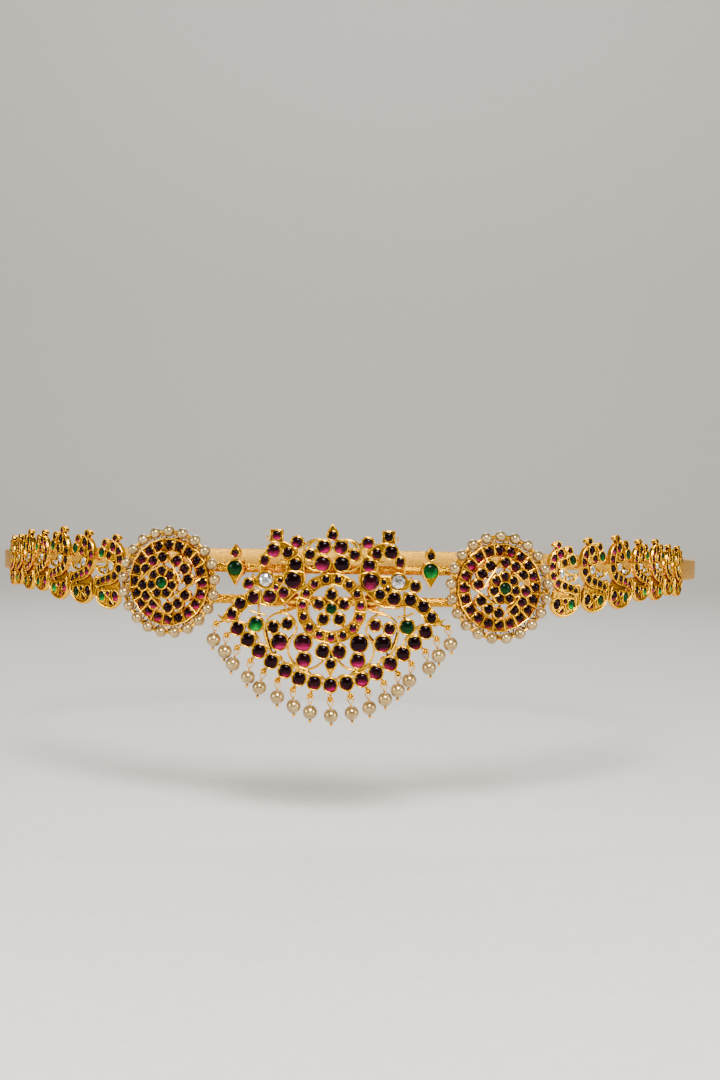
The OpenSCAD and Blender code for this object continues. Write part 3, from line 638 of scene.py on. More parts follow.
def pearls(places, radius):
    """Drilled pearls: the ends dip in where the wire goes through"""
    bpy.ops.object.select_all(action="DESELECT")
    bpy.ops.mesh.primitive_uv_sphere_add(segments=24, ring_count=16, radius=1, rotation=(math.pi / 2, 0, 0))
    model = bpy.context.object
    model.data.transform(model.matrix_world)
    model.matrix_world = Matrix.Identity(4)
    for vertex in model.data.vertices:
        if abs(vertex.co.y) > 0.999:
            vertex.co.y *= 0.9
    return repeated(model, [Matrix.Translation(place) @ Matrix.Scale(radius, 4) for place in places])


# The pendant's right half, in hundredths of its width from the ring's middle: x, y, radius of the stone
ROUNDS = [(3.8, 26.9, 2.8), (4.3, 19.5, 3.2), (9.9, 23.6, 2.2), (25.9, 25, 2.8), (15.6, 28.8, 2.3),
    (27.4, 4.7, 2.8), (36.7, 10.1, 2.2), (12.4, -15.4, 3.6), (25.7, -8.6, 2.3), (22.9, -15.2, 3.4),
    (11.9, -22.9, 3), (19.4, -7.2, 2.3), (3.6, -19, 2.8), (33.4, -7.6, 3), (41.4, -9.5, 2.7),
    (36.7, -14.4, 2.8), (31.7, -19.3, 2.8), (26.2, -23.8, 2.8), (20, -27.8, 2.8), (13.8, -31.1, 2.8),
    (7.1, -32.8, 2.8)]
# Stones in shaped cells
LOOSE = [(24.7, 31.7, 2.1), (19.6, 24.2, 2.3), (16.2, 18.9, 2.9, 2.7), (17, 11.9, 3.6), (21.2, 6.4, 2.3),
    (34.6, 4.2, 2.6, 2.7), (40.4, 1.4, 2.6), (44, -3.4, 2.2, 2.4), (22.9, 11.9, 1.3), (24.6, 8.8, 1.3),
    (29.9, 20.6, 1.9, 2.3)]
SCALLOP_FROM = 14
GREEN = (33.4, -7.6, 3)
CREST = [(23.3, 28.3), (21.4, 28.8), (18.4, 27.3), (15, 23.7), (19.8, 20.8), (21.6, 22.6), (23, 25.4)]
SQUARE = [(22, 28.9), (27.4, 28.9), (27.4, 34.2), (22, 34.2)]
PENTAGON = [(15.2, 23.4), (13.6, 21.8), (12.6, 19.1), (12.4, 15.4), (20, 16.3), (20, 19.1), (19.6, 20.8)]
NECK = [(20, 16.3), (12.4, 15.4), (12.2, 11.3), (13, 9.3), (15.4, 7.4), (18.3, 8.7), (20.6, 10.5),
    (21.2, 13)]
DIAMOND = [(24.6, 6.2), (22, 9.4), (15.7, 6.6), (18.9, 4.1), (21.2, 2.6)]
TINY_CELL = [(20.8, 12.6), (22.6, 14.2), (25.4, 13.9), (26.2, 10.4), (26.6, 7.9), (24.4, 6.4), (22.2, 9.5)]
OVAL_CELL = [(29.9, 23.5), (31.7, 22), (32.4, 20.4), (32.1, 18.9), (30.3, 18), (28.4, 18.5), (27.5, 19.8),
    (27.8, 21.8)]
BEAK_CELL = [(35.2, 14.4), (33.9, 12.9), (32.6, 13.9), (31.5, 15.2), (29.2, 15.9), (27, 15.2), (25.8, 13.2),
    (25.8, 10.9), (26.8, 8.9), (29.2, 8.2), (31.9, 8.5), (33.8, 9.9), (34.7, 12.1)]
TAIL_CELLS = [[(38.7, 5.4), (35.4, 7.4), (31.4, 7.2), (31.2, 1.5), (33.9, 1.2), (36.6, 0.4)],
    [(44.3, 0.3), (41.7, 3.1), (38.7, 5.4), (36.6, 0.4), (38.5, -1.1), (40.1, -2.9)],
    [(48.2, -4.9), (46.5, -2.1), (44.3, 0.3), (40.1, -2.9), (41.4, -5.8), (44.3, -6.4)]]
LEAF_TIP = [(50.4, -3.6), (48.2, -5), (44.3, -5.9), (43.2, -6.7), (45.9, -7.4), (48.4, -6.2)]
# Wires on edge, as lines through points
WIRES = [[(26.3, -19.8), (28, -16.3), (29.1, -13.2), (29.5, -9.7), (29, -6.9), (27.4, -4.6), (24.9, -3),
    (22.2, -2.5), (19.4, -3), (17.3, -4.4), (15.9, -6.4), (15.4, -8.5), (15.5, -10.2), (16.5, -12.4),
    (17.9, -14.3), (18.9, -17.1), (18.9, -19), (18.1, -21.7), (16.3, -24.5), (14, -26.2), (11.3, -27),
    (8.5, -26.8), (5.4, -25.2), (2.9, -22.7)], [(12.4, 15.4), (12.2, 11.3), (12.8, 9.6), (15.4, 7.2),
    (21, 1.7), (25, 0.6)], [(32.1, 18.2), (31.8, 15.4)], [(29.9, 23.5), (28.8, 24.4)],
    [(19.8, 20.8), (21.4, 19.8), (23, 21)], [(25, 0.9), (28.4, 0.6), (31.4, 1.5)],
    [(20, 16.3), (21.8, 14.3), (25.9, 14.2)]]
# Leaves between the scallops: from, through and to
LEAVES = [[(40.1, -6.5), (37.5, -7.9), (36.2, -10.2), (35.4, -12.4)], [(36.2, -11.3), (33.5, -12.4),
    (32.3, -13.9), (31.9, -16.2)], [(30.3, -16.7), (28.2, -17.1), (27.2, -18.6), (26.3, -20.9)],
    [(25.3, -20.9), (22.9, -21.3), (21.6, -22.9), (20.8, -25)], [(19.8, -24.6), (17.5, -24.6),
    (15.9, -25.9), (14.8, -28)], [(12.9, -28.2), (10.6, -27.9), (9.1, -28.9), (8.2, -30)],
    [(9.6, -30.2), (6.9, -29.4), (4.3, -29.9), (2.4, -31.7)], [(36.9, -10.9), (34.2, -11.4), (32.3, -13.9),
    (31.7, -15.9)], [(28.4, -17.1), (26.1, -19.8), (25.4, -20.6)], [(23.7, -20.9), (21.4, -23.7),
    (20.4, -24.6)], [(16.7, -25.6), (13.2, -27.6), (8.5, -29.6), (5, -29.8)]]
FEET = [[(32.2, 1.4), (32.1, -2.8)], [(35.8, -1.7), (34, -2.5), (32.3, -2.9), (29.3, -3.5)],
    [(21.5, 1.6), (19.4, -1.4)], [(23.1, -1.9), (19.6, -1.6), (17.6, -0.9), (15.9, -0.1)]]
# Bars that carry the cells from behind
BARS = [(0, 32.3, 3.8, 26.9), (0, 26.9, 3.8, 26.9), (0, 19.5, 4.3, 19.5), (4.3, 19.5, 3.3, 14.5),
    (3.8, 26.9, 9.9, 23.6), (15.6, 28.8, 10.5, 28.2), (24.7, 31.7, 25.9, 25), (25.9, 25, 19.6, 24.2),
    (15.6, 28.8, 19.6, 24.2), (25.9, 25, 29.9, 20.6), (29.9, 20.6, 29.3, 12.1), (19.6, 24.2, 16.1, 19),
    (12.7, 22.6, 12.3, 9.2), (17.1, 11.9, 29.3, 12.1), (29.3, 12.1, 27.4, 4.7), (21.4, 6.4, 34.5, 4.7),
    (36.7, 10.1, 34.5, 4.7), (43.9, -3.5, 41.4, -9.5), (31.7, -2.4, 33.4, -7.6), (22.9, -1.7, 15, 0.2),
    (33.4, -7.6, 29.2, -9.7), (33.4, -7.6, 41.4, -9.5), (29.2, -10, 26.2, -20.5), (25.7, -8.6, 19.4, -7.2),
    (25.7, -8.6, 22.9, -15.2), (19.4, -7.2, 15.8, -7), (16, -11.2, 19.6, -15.2), (12.4, -15.4, 10.4, -12.8),
    (12.4, -15.4, 11.9, -22.9), (3.6, -19, 3, -14.6), (0, -19, 3.6, -19), (0, -19, 0, -25),
    (0, -25, 0, -33.8), (11.9, -22.9, 11.9, -27.2), (11.9, -27.2, 13.8, -31.1), (22.9, -15.2, 26.2, -23.8),
    (7.1, -32.8, 0, -33.8), (41.4, -9.5, 36.7, -14.4), (36.7, -14.4, 26.2, -23.8),
    (26.2, -23.8, 13.8, -31.1), (13.8, -31.1, 7.1, -32.8)]
DROPS = [(51.2, -7.6), (46.4, -12.7), (41.6, -18.2), (35.6, -23.9), (29.7, -28.4), (23.5, -32.4),
    (16.6, -36.3), (8.9, -38.8)]
DROP_ROOTS = [(46.8, -6.2), (43.6, -10.8), (38.9, -15.9), (33.4, -21.4), (27.6, -25.9), (21.6, -29.9),
    (15, -33.4), (7.8, -35.2)]
# How far each pearl hangs out of line, in mm to the right: left ones from the outside in, the middle, then
# right ones out
SWINGS = [-0.7, -0.5, -1.4, -0.8, -1.4, 0, 0.3, 0, 0.3, 0.5, 0.5, 0.5, 0, -0.7, 1.3, 0.7, 1]
RING_OUT = 15.6
RING_IN = 10.1
RING_STONES = 15
PETAL_R = 5.9
EYE_R = 2.3
PEARL_DROP_Y = -5.7
DROP_Z = 1.3


def both(parts):
    """The parts with their mirrored twins"""
    return parts + [copied(ob, Matrix.Diagonal((-1, 1, 1, 1))) for ob in parts]


def scaled_rows(rows, unit):
    return [tuple(v * unit for v in row[:4]) + tuple(row[4:]) for row in rows]


def rims(rows, wall, gap=0.06):
    return [ring(x, y, r + gap + wall / 2) for x, y, r in rows]


class BELT_PG_pendant(bpy.types.PropertyGroup):
    height: length("Height of the cells", "From the pendant's back to the rim of its cells", 2.6, 2.2, 3.4)
    wall: length("Cell wall", "Thickness of the gold wall round a stone", 0.58, 0.3, 0.8)
    wire: length("Scroll wire", "Thickness of the wires on edge", 0.8, 0.3, 1)
    pearl: length("Drop pearl", "Radius of the pearls that hang below the pendant", 2.5, 2, 2.6)


class BELT_OT_pendant(bpy.types.Operator):
    """Builds the centre pendant: openwork cells, ring, flower, feet, leaves and their stones"""
    bl_idname = "belt.pendant"
    bl_label = "Centre pendant"

    def execute(self, context):
        sizes = context.scene.belt_pendant
        top, wall, wire = sizes.height / MM, sizes.wall / MM, sizes.wire / MM
        rows = scaled_rows([(*r, 0)[:3] for r in ROUNDS], UNIT)
        shaped = [SQUARE, smooth(CREST, True, 3), PENTAGON, smooth(NECK, True, 3), DIAMOND,
                  smooth(TINY_CELL, True, 3), smooth(OVAL_CELL, True, 2), smooth(BEAK_CELL, True, 2),
                  *TAIL_CELLS]
        loops = rims(rows, wall) + [sized(loop, UNIT) for loop in shaped]
        half = cells(loops, top, wall)
        half.append(plates([sized(LEAF_TIP, UNIT)], 0, top - 0.2))
        strips = [sized(smooth(line), UNIT) for line in WIRES + LEAVES]
        half.append(bent([at_height(line, 1.75) for line in strips], wire, 1.1))
        feet = [at_height(sized(smooth(line), UNIT), 1.9) for line in FEET]
        half.append(bent(feet, 0.75, sides=2))
        half.append(grains([feet[1][0], feet[1][-1], feet[3][0], feet[3][-1]], 0.52))
        half.append(bent([at_height(sized([bar[:2], bar[2:]], UNIT), 0.45) for bar in BARS], 0.8))
        # Tapered lower lips of the scallops and of two cells below the ring
        lips = [arc(x * UNIT, y * UNIT, (r + 0.55) * UNIT, 200, 380, 14, (0.25, 1.0), top - 0.15)
                for x, y, r in ROUNDS[SCALLOP_FROM:]]
        lips.append(arc(25.7 * UNIT, -8.6 * UNIT, 2.95 * UNIT, 180, 330, 14, (0.2, 1.25), top - 0.2))
        lips.append(arc(3.6 * UNIT, -19 * UNIT, 3.4 * UNIT, 215, 345, 14, (0.2, 1.2), top - 0.2))
        lips.append(arc(9.9 * UNIT, 23.6 * UNIT, 2.9 * UNIT, -160, 20, 14, (0.2, 0.8), top - 0.2))
        half.append(bent(lips, 0.7, sides=2))
        # Double crescent round the cluster over the ring
        crescent = [arc(6.4 * UNIT, 23.3 * UNIT, 6.9 * UNIT, -112, 118, 26, None, 1.7),
                    arc(5.2 * UNIT, 24.2 * UNIT, 5.9 * UNIT, -8, 100, 18, None, 1.7),
                    arc(27.6 * UNIT, 30.9 * UNIT, 1.3 * UNIT, -90, 30, 8, (1.0, 0.5), 1.7)]
        half.append(bent(crescent, wire, 1.2))
        parts = both(half)
        # Middle line: finial, drop below the ring and lowest scallop
        middle = [teardrop(0, 32.3 * UNIT, 2.5 * UNIT, (0, 37.0 * UNIT)),
                  teardrop(0, -24.6 * UNIT, 2.5 * UNIT, (0, -30.6 * UNIT)),
                  ring(0, -33.8 * UNIT, 3.1 * UNIT)]
        parts += cells(middle, top, wall)
        parts.append(bent([arc(0, -33.8 * UNIT, 3.35 * UNIT, 195, 345, 14, (0.3, 1.2), top - 0.15)], 0.75,
                          sides=2))
        self.ring_cells(parts, top + 0.4, wall)
        self.flower(parts, top + 0.8, wall)
        # Little flowers of grains that carry the drops, with the bars behind them
        flowers, posts, backs = [], [], []
        for i, (x, y) in enumerate(DROPS + [(-x, y) for x, y in DROPS] + [(0, -40.2)]):
            x, y = x * UNIT, y * UNIT
            flowers.append((x, y, DROP_Z + 0.25, 0.48))
            flowers += [(x + px, y + py, DROP_Z)
                        for px, py, _ in (polar(0.84, 60 * k + 30) for k in range(6))]
            posts.append([(x, y, 0.3), (x, y, DROP_Z)])
            root = (DROP_ROOTS + [(-a, b) for a, b in DROP_ROOTS] + [(0, -36.9)])[i]
            backs.append([(root[0] * UNIT, root[1] * UNIT, 1.0), (x, y, 1.0)])
        parts += [grains(flowers, 0.45), bent(posts, 1.3), bent(backs, 0.8)]
        parts += self.sleeves()
        groups, greens = self.stone_rows(top - BED)
        parts += [collars(rows, bed) for rows, bed in groups + greens]
        finished(parts, "openwork_pendant", in_pendant(), Finishes.get(cast_gold), ["pendant_frame"])
        self.stones(top)
        return {"FINISHED"}

    def ring_cells(self, parts, top, wall):
        """Ring of fifteen cells with walls between them"""
        outer, inner, splits, floors = [], [], [], []
        step = 360 / RING_STONES
        for i in range(RING_STONES):
            lead = -90 + step * i
            for k in range(6):
                a = lead - step / 2 + step * k / 6
                outer.append(polar((RING_OUT - 0.55 + 0.35 * math.sin(math.pi * k / 6)) * UNIT, a))
                inner.append(polar((RING_IN + 0.3) * UNIT, a))
            edge = lead + step / 2
            splits.append([polar((RING_IN + 0.4) * UNIT, edge), polar((RING_OUT - 0.6) * UNIT, edge)])
            spread = [lead - step / 2 + step * k / 4 for k in range(5)]
            floors.append([polar((RING_IN + 0.1) * UNIT, a) for a in spread]
                          + [polar((RING_OUT - 0.4) * UNIT, a) for a in reversed(spread)])
        parts += [fence([outer, inner], top, wall, closed=True), fence(splits, top, wall),
                  plates(floors, 0, top - BED)]

    def flower(self, parts, top, wall):
        """Flower of five pointed petals round a raised eye"""
        petals = []
        for i in range(5):
            x, y, _ = polar(PETAL_R * UNIT, 90 + 72 * i)
            tip = polar((RING_IN + 0.2) * UNIT, 90 + 72 * i)
            petals.append(teardrop(x, y, 2.75 * UNIT, tip[:2]))
        parts += cells(petals, top, wall, 0.2)
        parts += cells([ring(0, 0, EYE_R * UNIT + 0.06 + wall / 2)], top + 0.35, wall, 0.1)
        parts.append(bent([[polar(1.5 * UNIT, 90 + 72 * i, 1.0), polar(4.5 * UNIT, 90 + 72 * i, 1.0)]
                           for i in range(5)], 1.4))

    def sleeves(self):
        """Short tubes behind the pendant that run on the two ropes"""
        back = in_pendant().inverted()
        return [sleeve(back @ on_belt(17.1 * UNIT, height, out=0, side=side))
                for side in (-1, 1) for height in (-ROPE_Z, ROPE_Z)]

    def stone_rows(self, bed):
        """The red and the green stones, in groups that lie on one bed"""
        rubies = [(*r, r[2]) for r in ROUNDS if r[:2] != GREEN[:2]] + [(*r, r[2])[:4] for r in LOOSE]
        rows = [(*row, 0) for row in scaled_rows(rubies, UNIT)]
        rows += [(-row[0], *row[1:]) for row in rows]
        rows += scaled_rows([(0, 32.0, 2.1), (0, -24.6, 2.1), (0, -33.8, 2.8)], UNIT)
        rim = [(*polar(12.9 * UNIT, -90 + 24 * i)[:2], 1.78 * UNIT) for i in range(RING_STONES)]
        petals = [(*polar(PETAL_R * UNIT, 90 + 72 * i)[:2], 2.2 * UNIT) for i in range(5)]
        x, y, r = (v * UNIT for v in GREEN)
        return ([(rows, bed), (rim, bed + 0.4), (petals, bed + 0.8)],
                [([(x, y, r), (-x, y, r)], bed), ([(0, 0, EYE_R * UNIT)], bed + 1.15)])

    def stones(self, top):
        bed = top - BED
        groups, greens = self.stone_rows(bed)
        finished([set_stones(*group) for group in groups], "pendant_ruby_cabochons", in_pendant(),
                 Finishes.get(ruby_glass), ["pendant_garnets_upper", "pendant_garnets_lower"], 60)
        finished([set_stones(*group) for group in greens], "pendant_green_cabochons", in_pendant(),
                 Finishes.get(green_glass), ["pendant_emeralds"], 60)
        x, y, r = 29.2 * UNIT, 12.1 * UNIT, 3.1 * UNIT
        finished([set_cut_stones([(x, y, r, r, 0), (-x, y, r, r, 11)], bed - 0.4)], "pendant_cut_stones",
                 in_pendant(), Finishes.get(cut_glass), ["pendant_clear_stones"], 5)


class BELT_OT_drops(bpy.types.Operator):
    """Hangs the seventeen pearl drops, each on a pear-shaped loop with a ball under the pearl"""
    bl_idname = "belt.drops"
    bl_label = "Pearl drops"

    def execute(self, context):
        places = [(-x, y) for x, y in DROPS] + [(0, -40.2)] + [(x, y) for x, y in reversed(DROPS)]
        loops, pins, balls, strung = [], [], [], []
        pearl = context.scene.belt_pendant.pearl / MM
        for (x, y), swing in zip(places, SWINGS):
            x, y = x * UNIT, y * UNIT
            foot = (x + swing, y + PEARL_DROP_Y)
            neck = (x + swing * 0.5, y - 2.75)
            loop = [(x, y - 0.25), (x - 0.95, y - 0.75), (x - 1.0, y - 1.3), neck, (x + 1.0, y - 1.3),
                    (x + 0.95, y - 0.75)]
            loops.append([(px, py, DROP_Z) for px, py in smooth(loop, True, 5)])
            lean = (foot[0] - neck[0]) / (neck[1] - foot[1])
            low = foot[1] - pearl
            pins.append([(*neck, DROP_Z), (foot[0] + lean * pearl, low - 0.3, DROP_Z)])
            balls.append((foot[0] + lean * pearl, low - 0.55, DROP_Z, 0.6))
            balls += [(neck[0] - 0.05, neck[1] - 0.1 - 0.22 * k, DROP_Z, 0.36) for k in range(2)]
            strung.append((*foot, DROP_Z))
        gold = Finishes.get(cast_gold)
        finished([bent(loops, 0.4, closed=True, sides=2), bent(pins, 0.4, sides=2), grains(balls, 0.5)],
                 "drop_loops_and_pins", in_pendant(), gold, ["drop_pins"])
        finished([pearls(strung, pearl)], "drop_pearls_strung", in_pendant(), Finishes.get(pearl_skin),
                 ["drop_pearls"], 80)
        return {"FINISHED"}


# Strands of a plait, and the length in which one turns by a radian, in mm
PLIES = 24
PLAIT_LEAD = 2.6


class BELT_PG_ropes(bpy.types.PropertyGroup):
    strand: length("Strand", "Thickness of one strand of the plait", 0.5, 0.4, 0.8)


class BELT_OT_ropes(bpy.types.Operator):
    """Lays the two plaited ropes behind the pendant, from cup to cup"""
    bl_idname = "belt.ropes"
    bl_label = "Plaited ropes"

    def execute(self, context):
        steps = 220
        for height, node in ((ROPE_Z, "rope_upper"), (-ROPE_Z, "rope_lower")):
            lines, core = [], []
            for ply in range(PLIES):
                way = 1 if ply % 2 else -1
                line = []
                for i in range(steps + 1):
                    s = CUP_S * (2 * i / steps - 1)
                    turn = 2 * math.pi * ply / PLIES + way * s / PLAIT_LEAD
                    r = 1.38 + 0.1 * math.sin(PLIES / 2 * s / PLAIT_LEAD + math.pi * (ply // 2))
                    line.append(self.at(s, height, r * math.sin(turn), r * math.cos(turn)))
                lines.append(line)
            core.append([self.at(CUP_S * (i / 30 - 1), height, 0, 0) for i in range(61)])
            finished([bent(lines, context.scene.belt_ropes.strand / MM), bent(core, 2.4)], "plaited_" + node,
                     Matrix.Scale(MM, 4), Finishes.get(cast_gold), [node], 80)
        return {"FINISHED"}

    def at(self, s, height, up, out):
        place = on_belt(abs(s), height, out=0, side=1 if s >= 0 else -1)
        return in_mm(place @ Vector((0, up, out)))


class BELT_OT_sliders(bpy.types.Operator):
    """Builds the two green and red sliders that ride on the upper rope"""
    bl_idname = "belt.sliders"
    bl_label = "Sliders"

    def execute(self, context):
        r = 2.55
        wall = 0.55
        green_cell = teardrop(0, 0, r + 0.3, (0, -2.25 * r))
        bud = teardrop(0, 2.05 * r, 1.6, (0, 2.05 * r + 2.75))
        body = cells([green_cell, bud], 2.6, wall)
        body.append(plates([[(-1.9, -2.2), (-1.0, -2.75), (1.0, -2.75), (1.9, -2.2), (0.3, -5.3),
                             (-0.3, -5.3)]], 0, 2.35))
        model = joined(body + [sleeve(Matrix.Translation((0, 0, -BACK_Z)))])
        for side, name in ((1, "right"), (-1, "left")):
            place = on_belt(SLIDER_S, ROPE_Z, side=side)
            finished([copied(model)], "slider_cells_" + name, place, Finishes.get(cast_gold),
                     ["slider_" + name])
            finished([set_stones([(0, 2.0 * r, 1.15)], 2.0)], "slider_bud_" + name, place,
                     Finishes.get(ruby_glass), (), 60)
        bpy.data.objects.remove(model)
        greens = []
        for side in (1, -1):
            green = set_stones([(0, 0, r)], 2.0)
            green.data.transform(on_belt(SLIDER_S, ROPE_Z, side=side))
            if side < 0:
                green.data.flip_normals()
            greens.append(green)
        finished(greens, "slider_green_cabochons", Matrix.Identity(4), Finishes.get(green_glass),
                 ["slider_stones"], 60)
        return {"FINISHED"}


# The medallion: counts, radii of the rings of stones and of the stones, in mm
OUTER_CELLS = (20, 13.15, 1.58)
COLLET_R = 8.85
COLLET_STONE = 1.66
COLLET_ANGLES = (120, 146.5, 172.5)
FLOWER_CELLS = (7, 4.1, 1.42)
RIM_PEARLS = 21
PEARL_RING = (17.85, 2.2)
# Where the ears reach to, along the belt
EARS_S = 18.4


class BELT_PG_medallion(bpy.types.PropertyGroup):
    tier: length("Collet tier", "Height of the round collets' feet over the back", 2.8, 2, 4)
    crown: length("Flower tier", "Height of the flower over the medallion's back", 5.4, 4, 7)


class BELT_OT_medallions(bpy.types.Operator):
    """Builds the two domed medallions: outer ring, collets, flower, pinwheel wires and stones"""
    bl_idname = "belt.medallions"
    bl_label = "Medallions"

    def execute(self, context):
        tier, crown = context.scene.belt_medallion.tier / MM, context.scene.belt_medallion.crown / MM
        wall = 0.6
        body = self.outer_ring(wall)
        collets = [polar(COLLET_R, a + 90 * k) for k in range(4) for a in COLLET_ANGLES]
        body += cells([ring(x, y, COLLET_STONE + 0.06 + wall / 2) for x, y, _ in collets],
                      tier + 2, wall, tier)
        # Stems that carry the collets from the ring, and the flower from the collets
        stems = []
        for k in range(4):
            for a in COLLET_ANGLES:
                a += 90 * k
                stems.append([polar(11.9, a, 1.2), polar(10.4, a, tier + 0.4)])
                stems.append([polar(7.0, a, tier + 0.5), polar(5.3, a, crown + 0.3)])
        body.append(bent(stems, 0.8))
        wheel = []
        for k in range(4):
            start, end = Vector(polar(12.3, 84 + 90 * k, 2.2)), Vector(polar(6.4, 150 + 90 * k, crown + 1.2))
            line = []
            for t in (0, 0.25, 0.5, 0.75, 1, 1.35)[:6 if k == 0 else 5]:
                x, y, z = start.lerp(end, t)
                line.append((x, y, z + 1.1 * math.sin(math.pi * min(t, 1)) - 1.2 * max(0, t - 1)))
            wheel.append(line)
        body.append(bent(wheel, 1.0, sides=2))
        body += self.flower(crown, wall)
        body += self.knots()
        body += self.ears()
        n, r, stone = OUTER_CELLS
        rubies = [(*polar(r, 90 + 360 / n * i)[:2], stone) for i in range(n)]
        n, r, stone = FLOWER_CELLS
        petals = [(*polar(r, 90 + 360 / n * i)[:2], stone) for i in range(n)]
        groups = [(rubies, 2.2 - BED), ([(x, y, COLLET_STONE) for x, y, _ in collets], tier + 2 - BED),
                  (petals, crown + 2 - BED)]
        model = joined(body + [collars(*group) for group in groups])
        red = joined([set_stones(*group) for group in groups])
        green = set_stones([(0, 0, 1.9)], crown + 2.5 - BED)
        for side, name in ((1, "right"), (-1, "left")):
            place = on_belt(MEDALLION_S, side=side)
            cups = [sleeve(place.inverted() @ on_belt(CUP_S, height, out=0, side=side))
                    for height in (-ROPE_Z, ROPE_Z)]
            finished([copied(model)] + cups, "domed_medallion_" + name, place, Finishes.get(cast_gold),
                     ["medallion_" + name])
            finished([copied(red)], "medallion_rubies_" + name, place, Finishes.get(ruby_glass),
                     ["medallion_stones_" + name], 60)
            finished([copied(green)], "medallion_eye_" + name, place, Finishes.get(green_glass),
                     (), 60)
        for ob in (model, red, green):
            bpy.data.objects.remove(ob)
        return {"FINISHED"}

    def outer_ring(self, wall):
        n = OUTER_CELLS[0]
        step = 360 / n
        outer, inner, splits, floors = [], [], [], []
        for i in range(n):
            lead = 90 + step * i
            corners = [polar(15.45, lead - step / 2 + 0.8), polar(15.1, lead),
                       polar(15.45, lead + step / 2 - 0.8)]
            outer += corners
            inner += [polar(11.1, lead - step / 2), polar(11.1, lead)]
            splits.append([polar(11.1, lead + step / 2), polar(15.35, lead + step / 2)])
            floors.append([polar(11.0, lead - step / 2), polar(11.0, lead), polar(11.0, lead + step / 2),
                           polar(15.4, lead + step / 2), polar(15.2, lead), polar(15.4, lead - step / 2)])
        return [fence([outer, inner], 2.35, wall + 0.15, closed=True, sides=2),
                fence(splits, 2.25, wall + 0.05, sides=2), plates(floors, 0, 2.2 - BED)]

    def flower(self, crown, wall):
        n = FLOWER_CELLS[0]
        outline, splits = [], []
        for i in range(n):
            lead = 90 + 360 / n * i
            for k in range(6):
                a = lead + 360 / n * (k / 6 - 0.5)
                outline.append(polar(5.0 + 0.8 * math.sin(math.pi * k / 6) ** 0.7, a)[:2])
            edge = lead + 180 / n
            splits.append([polar(2.1, edge), polar(5.0, edge)])
        made = cells([outline], crown + 2, wall, crown)
        made.append(fence(splits, crown + 2, wall, crown))
        made += cells([ring(0, 0, 1.97 + wall / 2)], crown + 2.5, wall, crown + 0.2)
        return made

    def knots(self):
        """Gold between the rim pearls: a short tube on the wire, two legs from the ring and a grain"""
        tubes, legs, dots = [], [], []
        r, z = PEARL_RING
        for i in range(RIM_PEARLS):
            a = 90 + 360 / RIM_PEARLS * (i + 0.5)
            tubes.append([polar(r, a - 2.3, z), polar(r, a, z), polar(r, a + 2.3, z)])
            for lean in (-4.6, 4.6):
                legs.append([polar(15.3, a + lean, 1.3), polar(16.6, a + lean * 0.45, 1.9),
                             polar(r - 0.2, a, z)])
            dots.append((*polar(16.5, a, 2.4)[:2], 2.3, 0.46))
        return [bent(tubes, 1.05, sides=2), bent(legs, 0.55), grains(dots, 0.5)]

    def ears(self):
        """Two eyes on arms that reach out behind the pearls to the first jump rings"""
        turn = EARS_S / SIDE_R
        height, roll = hip_line(EARS_S)
        made = []
        for side in (-1, 1):
            along = -1.5 * math.cos(roll) - side * EYE_UP * math.sin(roll)
            x = SIDE_R * math.sin(turn) + along * math.cos(turn)
            y = height + side * EYE_UP * math.cos(roll) - 1.5 * math.sin(roll)
            z = -SIDE_R * (1 - math.cos(turn)) - along * math.sin(turn) - 0.75
            made.append(bent([eye(x, y, z)], 0.6, closed=True, sides=2))
            start = math.sqrt((0.45 * MEDALLION_D) ** 2 - y * y)
            made.append(bent([[(start, y, 0.4), (start + 0.8, y, -0.2), (x - 1.6, y, z), (x - 0.85, y, z)]],
                             0.95, sides=2))
        return made


# A link, in hundredths of its height from its middle: x, y, radii across and up, turn
LINK_RUBIES = [(-5.2, 45.2, 2.8, 3.7, -15), (11.9, 36.2, 2.7, 4, -12), (-3, 33.2, 4.4, 6.1, -12),
    (-13.8, 28.8, 3.6, 5, -28), (-18, 18.2, 3.9, 5.1, -10), (-17.2, 4.9, 4.1, 5, 18),
    (-10.9, -5.8, 4, 4.9, -22), (-0.8, -10.3, 3.6, 4.9, -15), (8.2, -14.1, 3.5, 4.6, -22),
    (16.2, -18.5, 2.9, 3.8, -30), (1.9, 20.6, 3.2, 4.8, -8), (-15.6, -32.6, 5, 7, -24),
    (-2.2, -30.6, 2.8, 3.4, -12), (-8.9, -42.4, 3.3, 4, -38), (11.4, -24.8, 2.4, 1.9, -35)]
LINK_GREENS = [(15.4, 23.1, 4.5, 6.2, 6), (8, -35.9, 4.9, 6.6, -14)]
LINK_CLEAR = [(-2.5, 6.4, 4.3, 5.8, -12), (6.1, -0.8, 3.5, 3.8, -30), (12.4, -0.3, 2.4, 2.7, -20)]
# Rims of oval cells: x, y, radii, turn
LINK_OVALS = [(-3, 33.2, 5.6, 7.3, -12), (15.4, 23.1, 5.8, 7.5, 6), (-15.6, -32.6, 6.1, 8.1, -24),
    (-2.2, -30.8, 3.9, 4.4, -12), (8, -35.9, 6.1, 7.7, -14)]
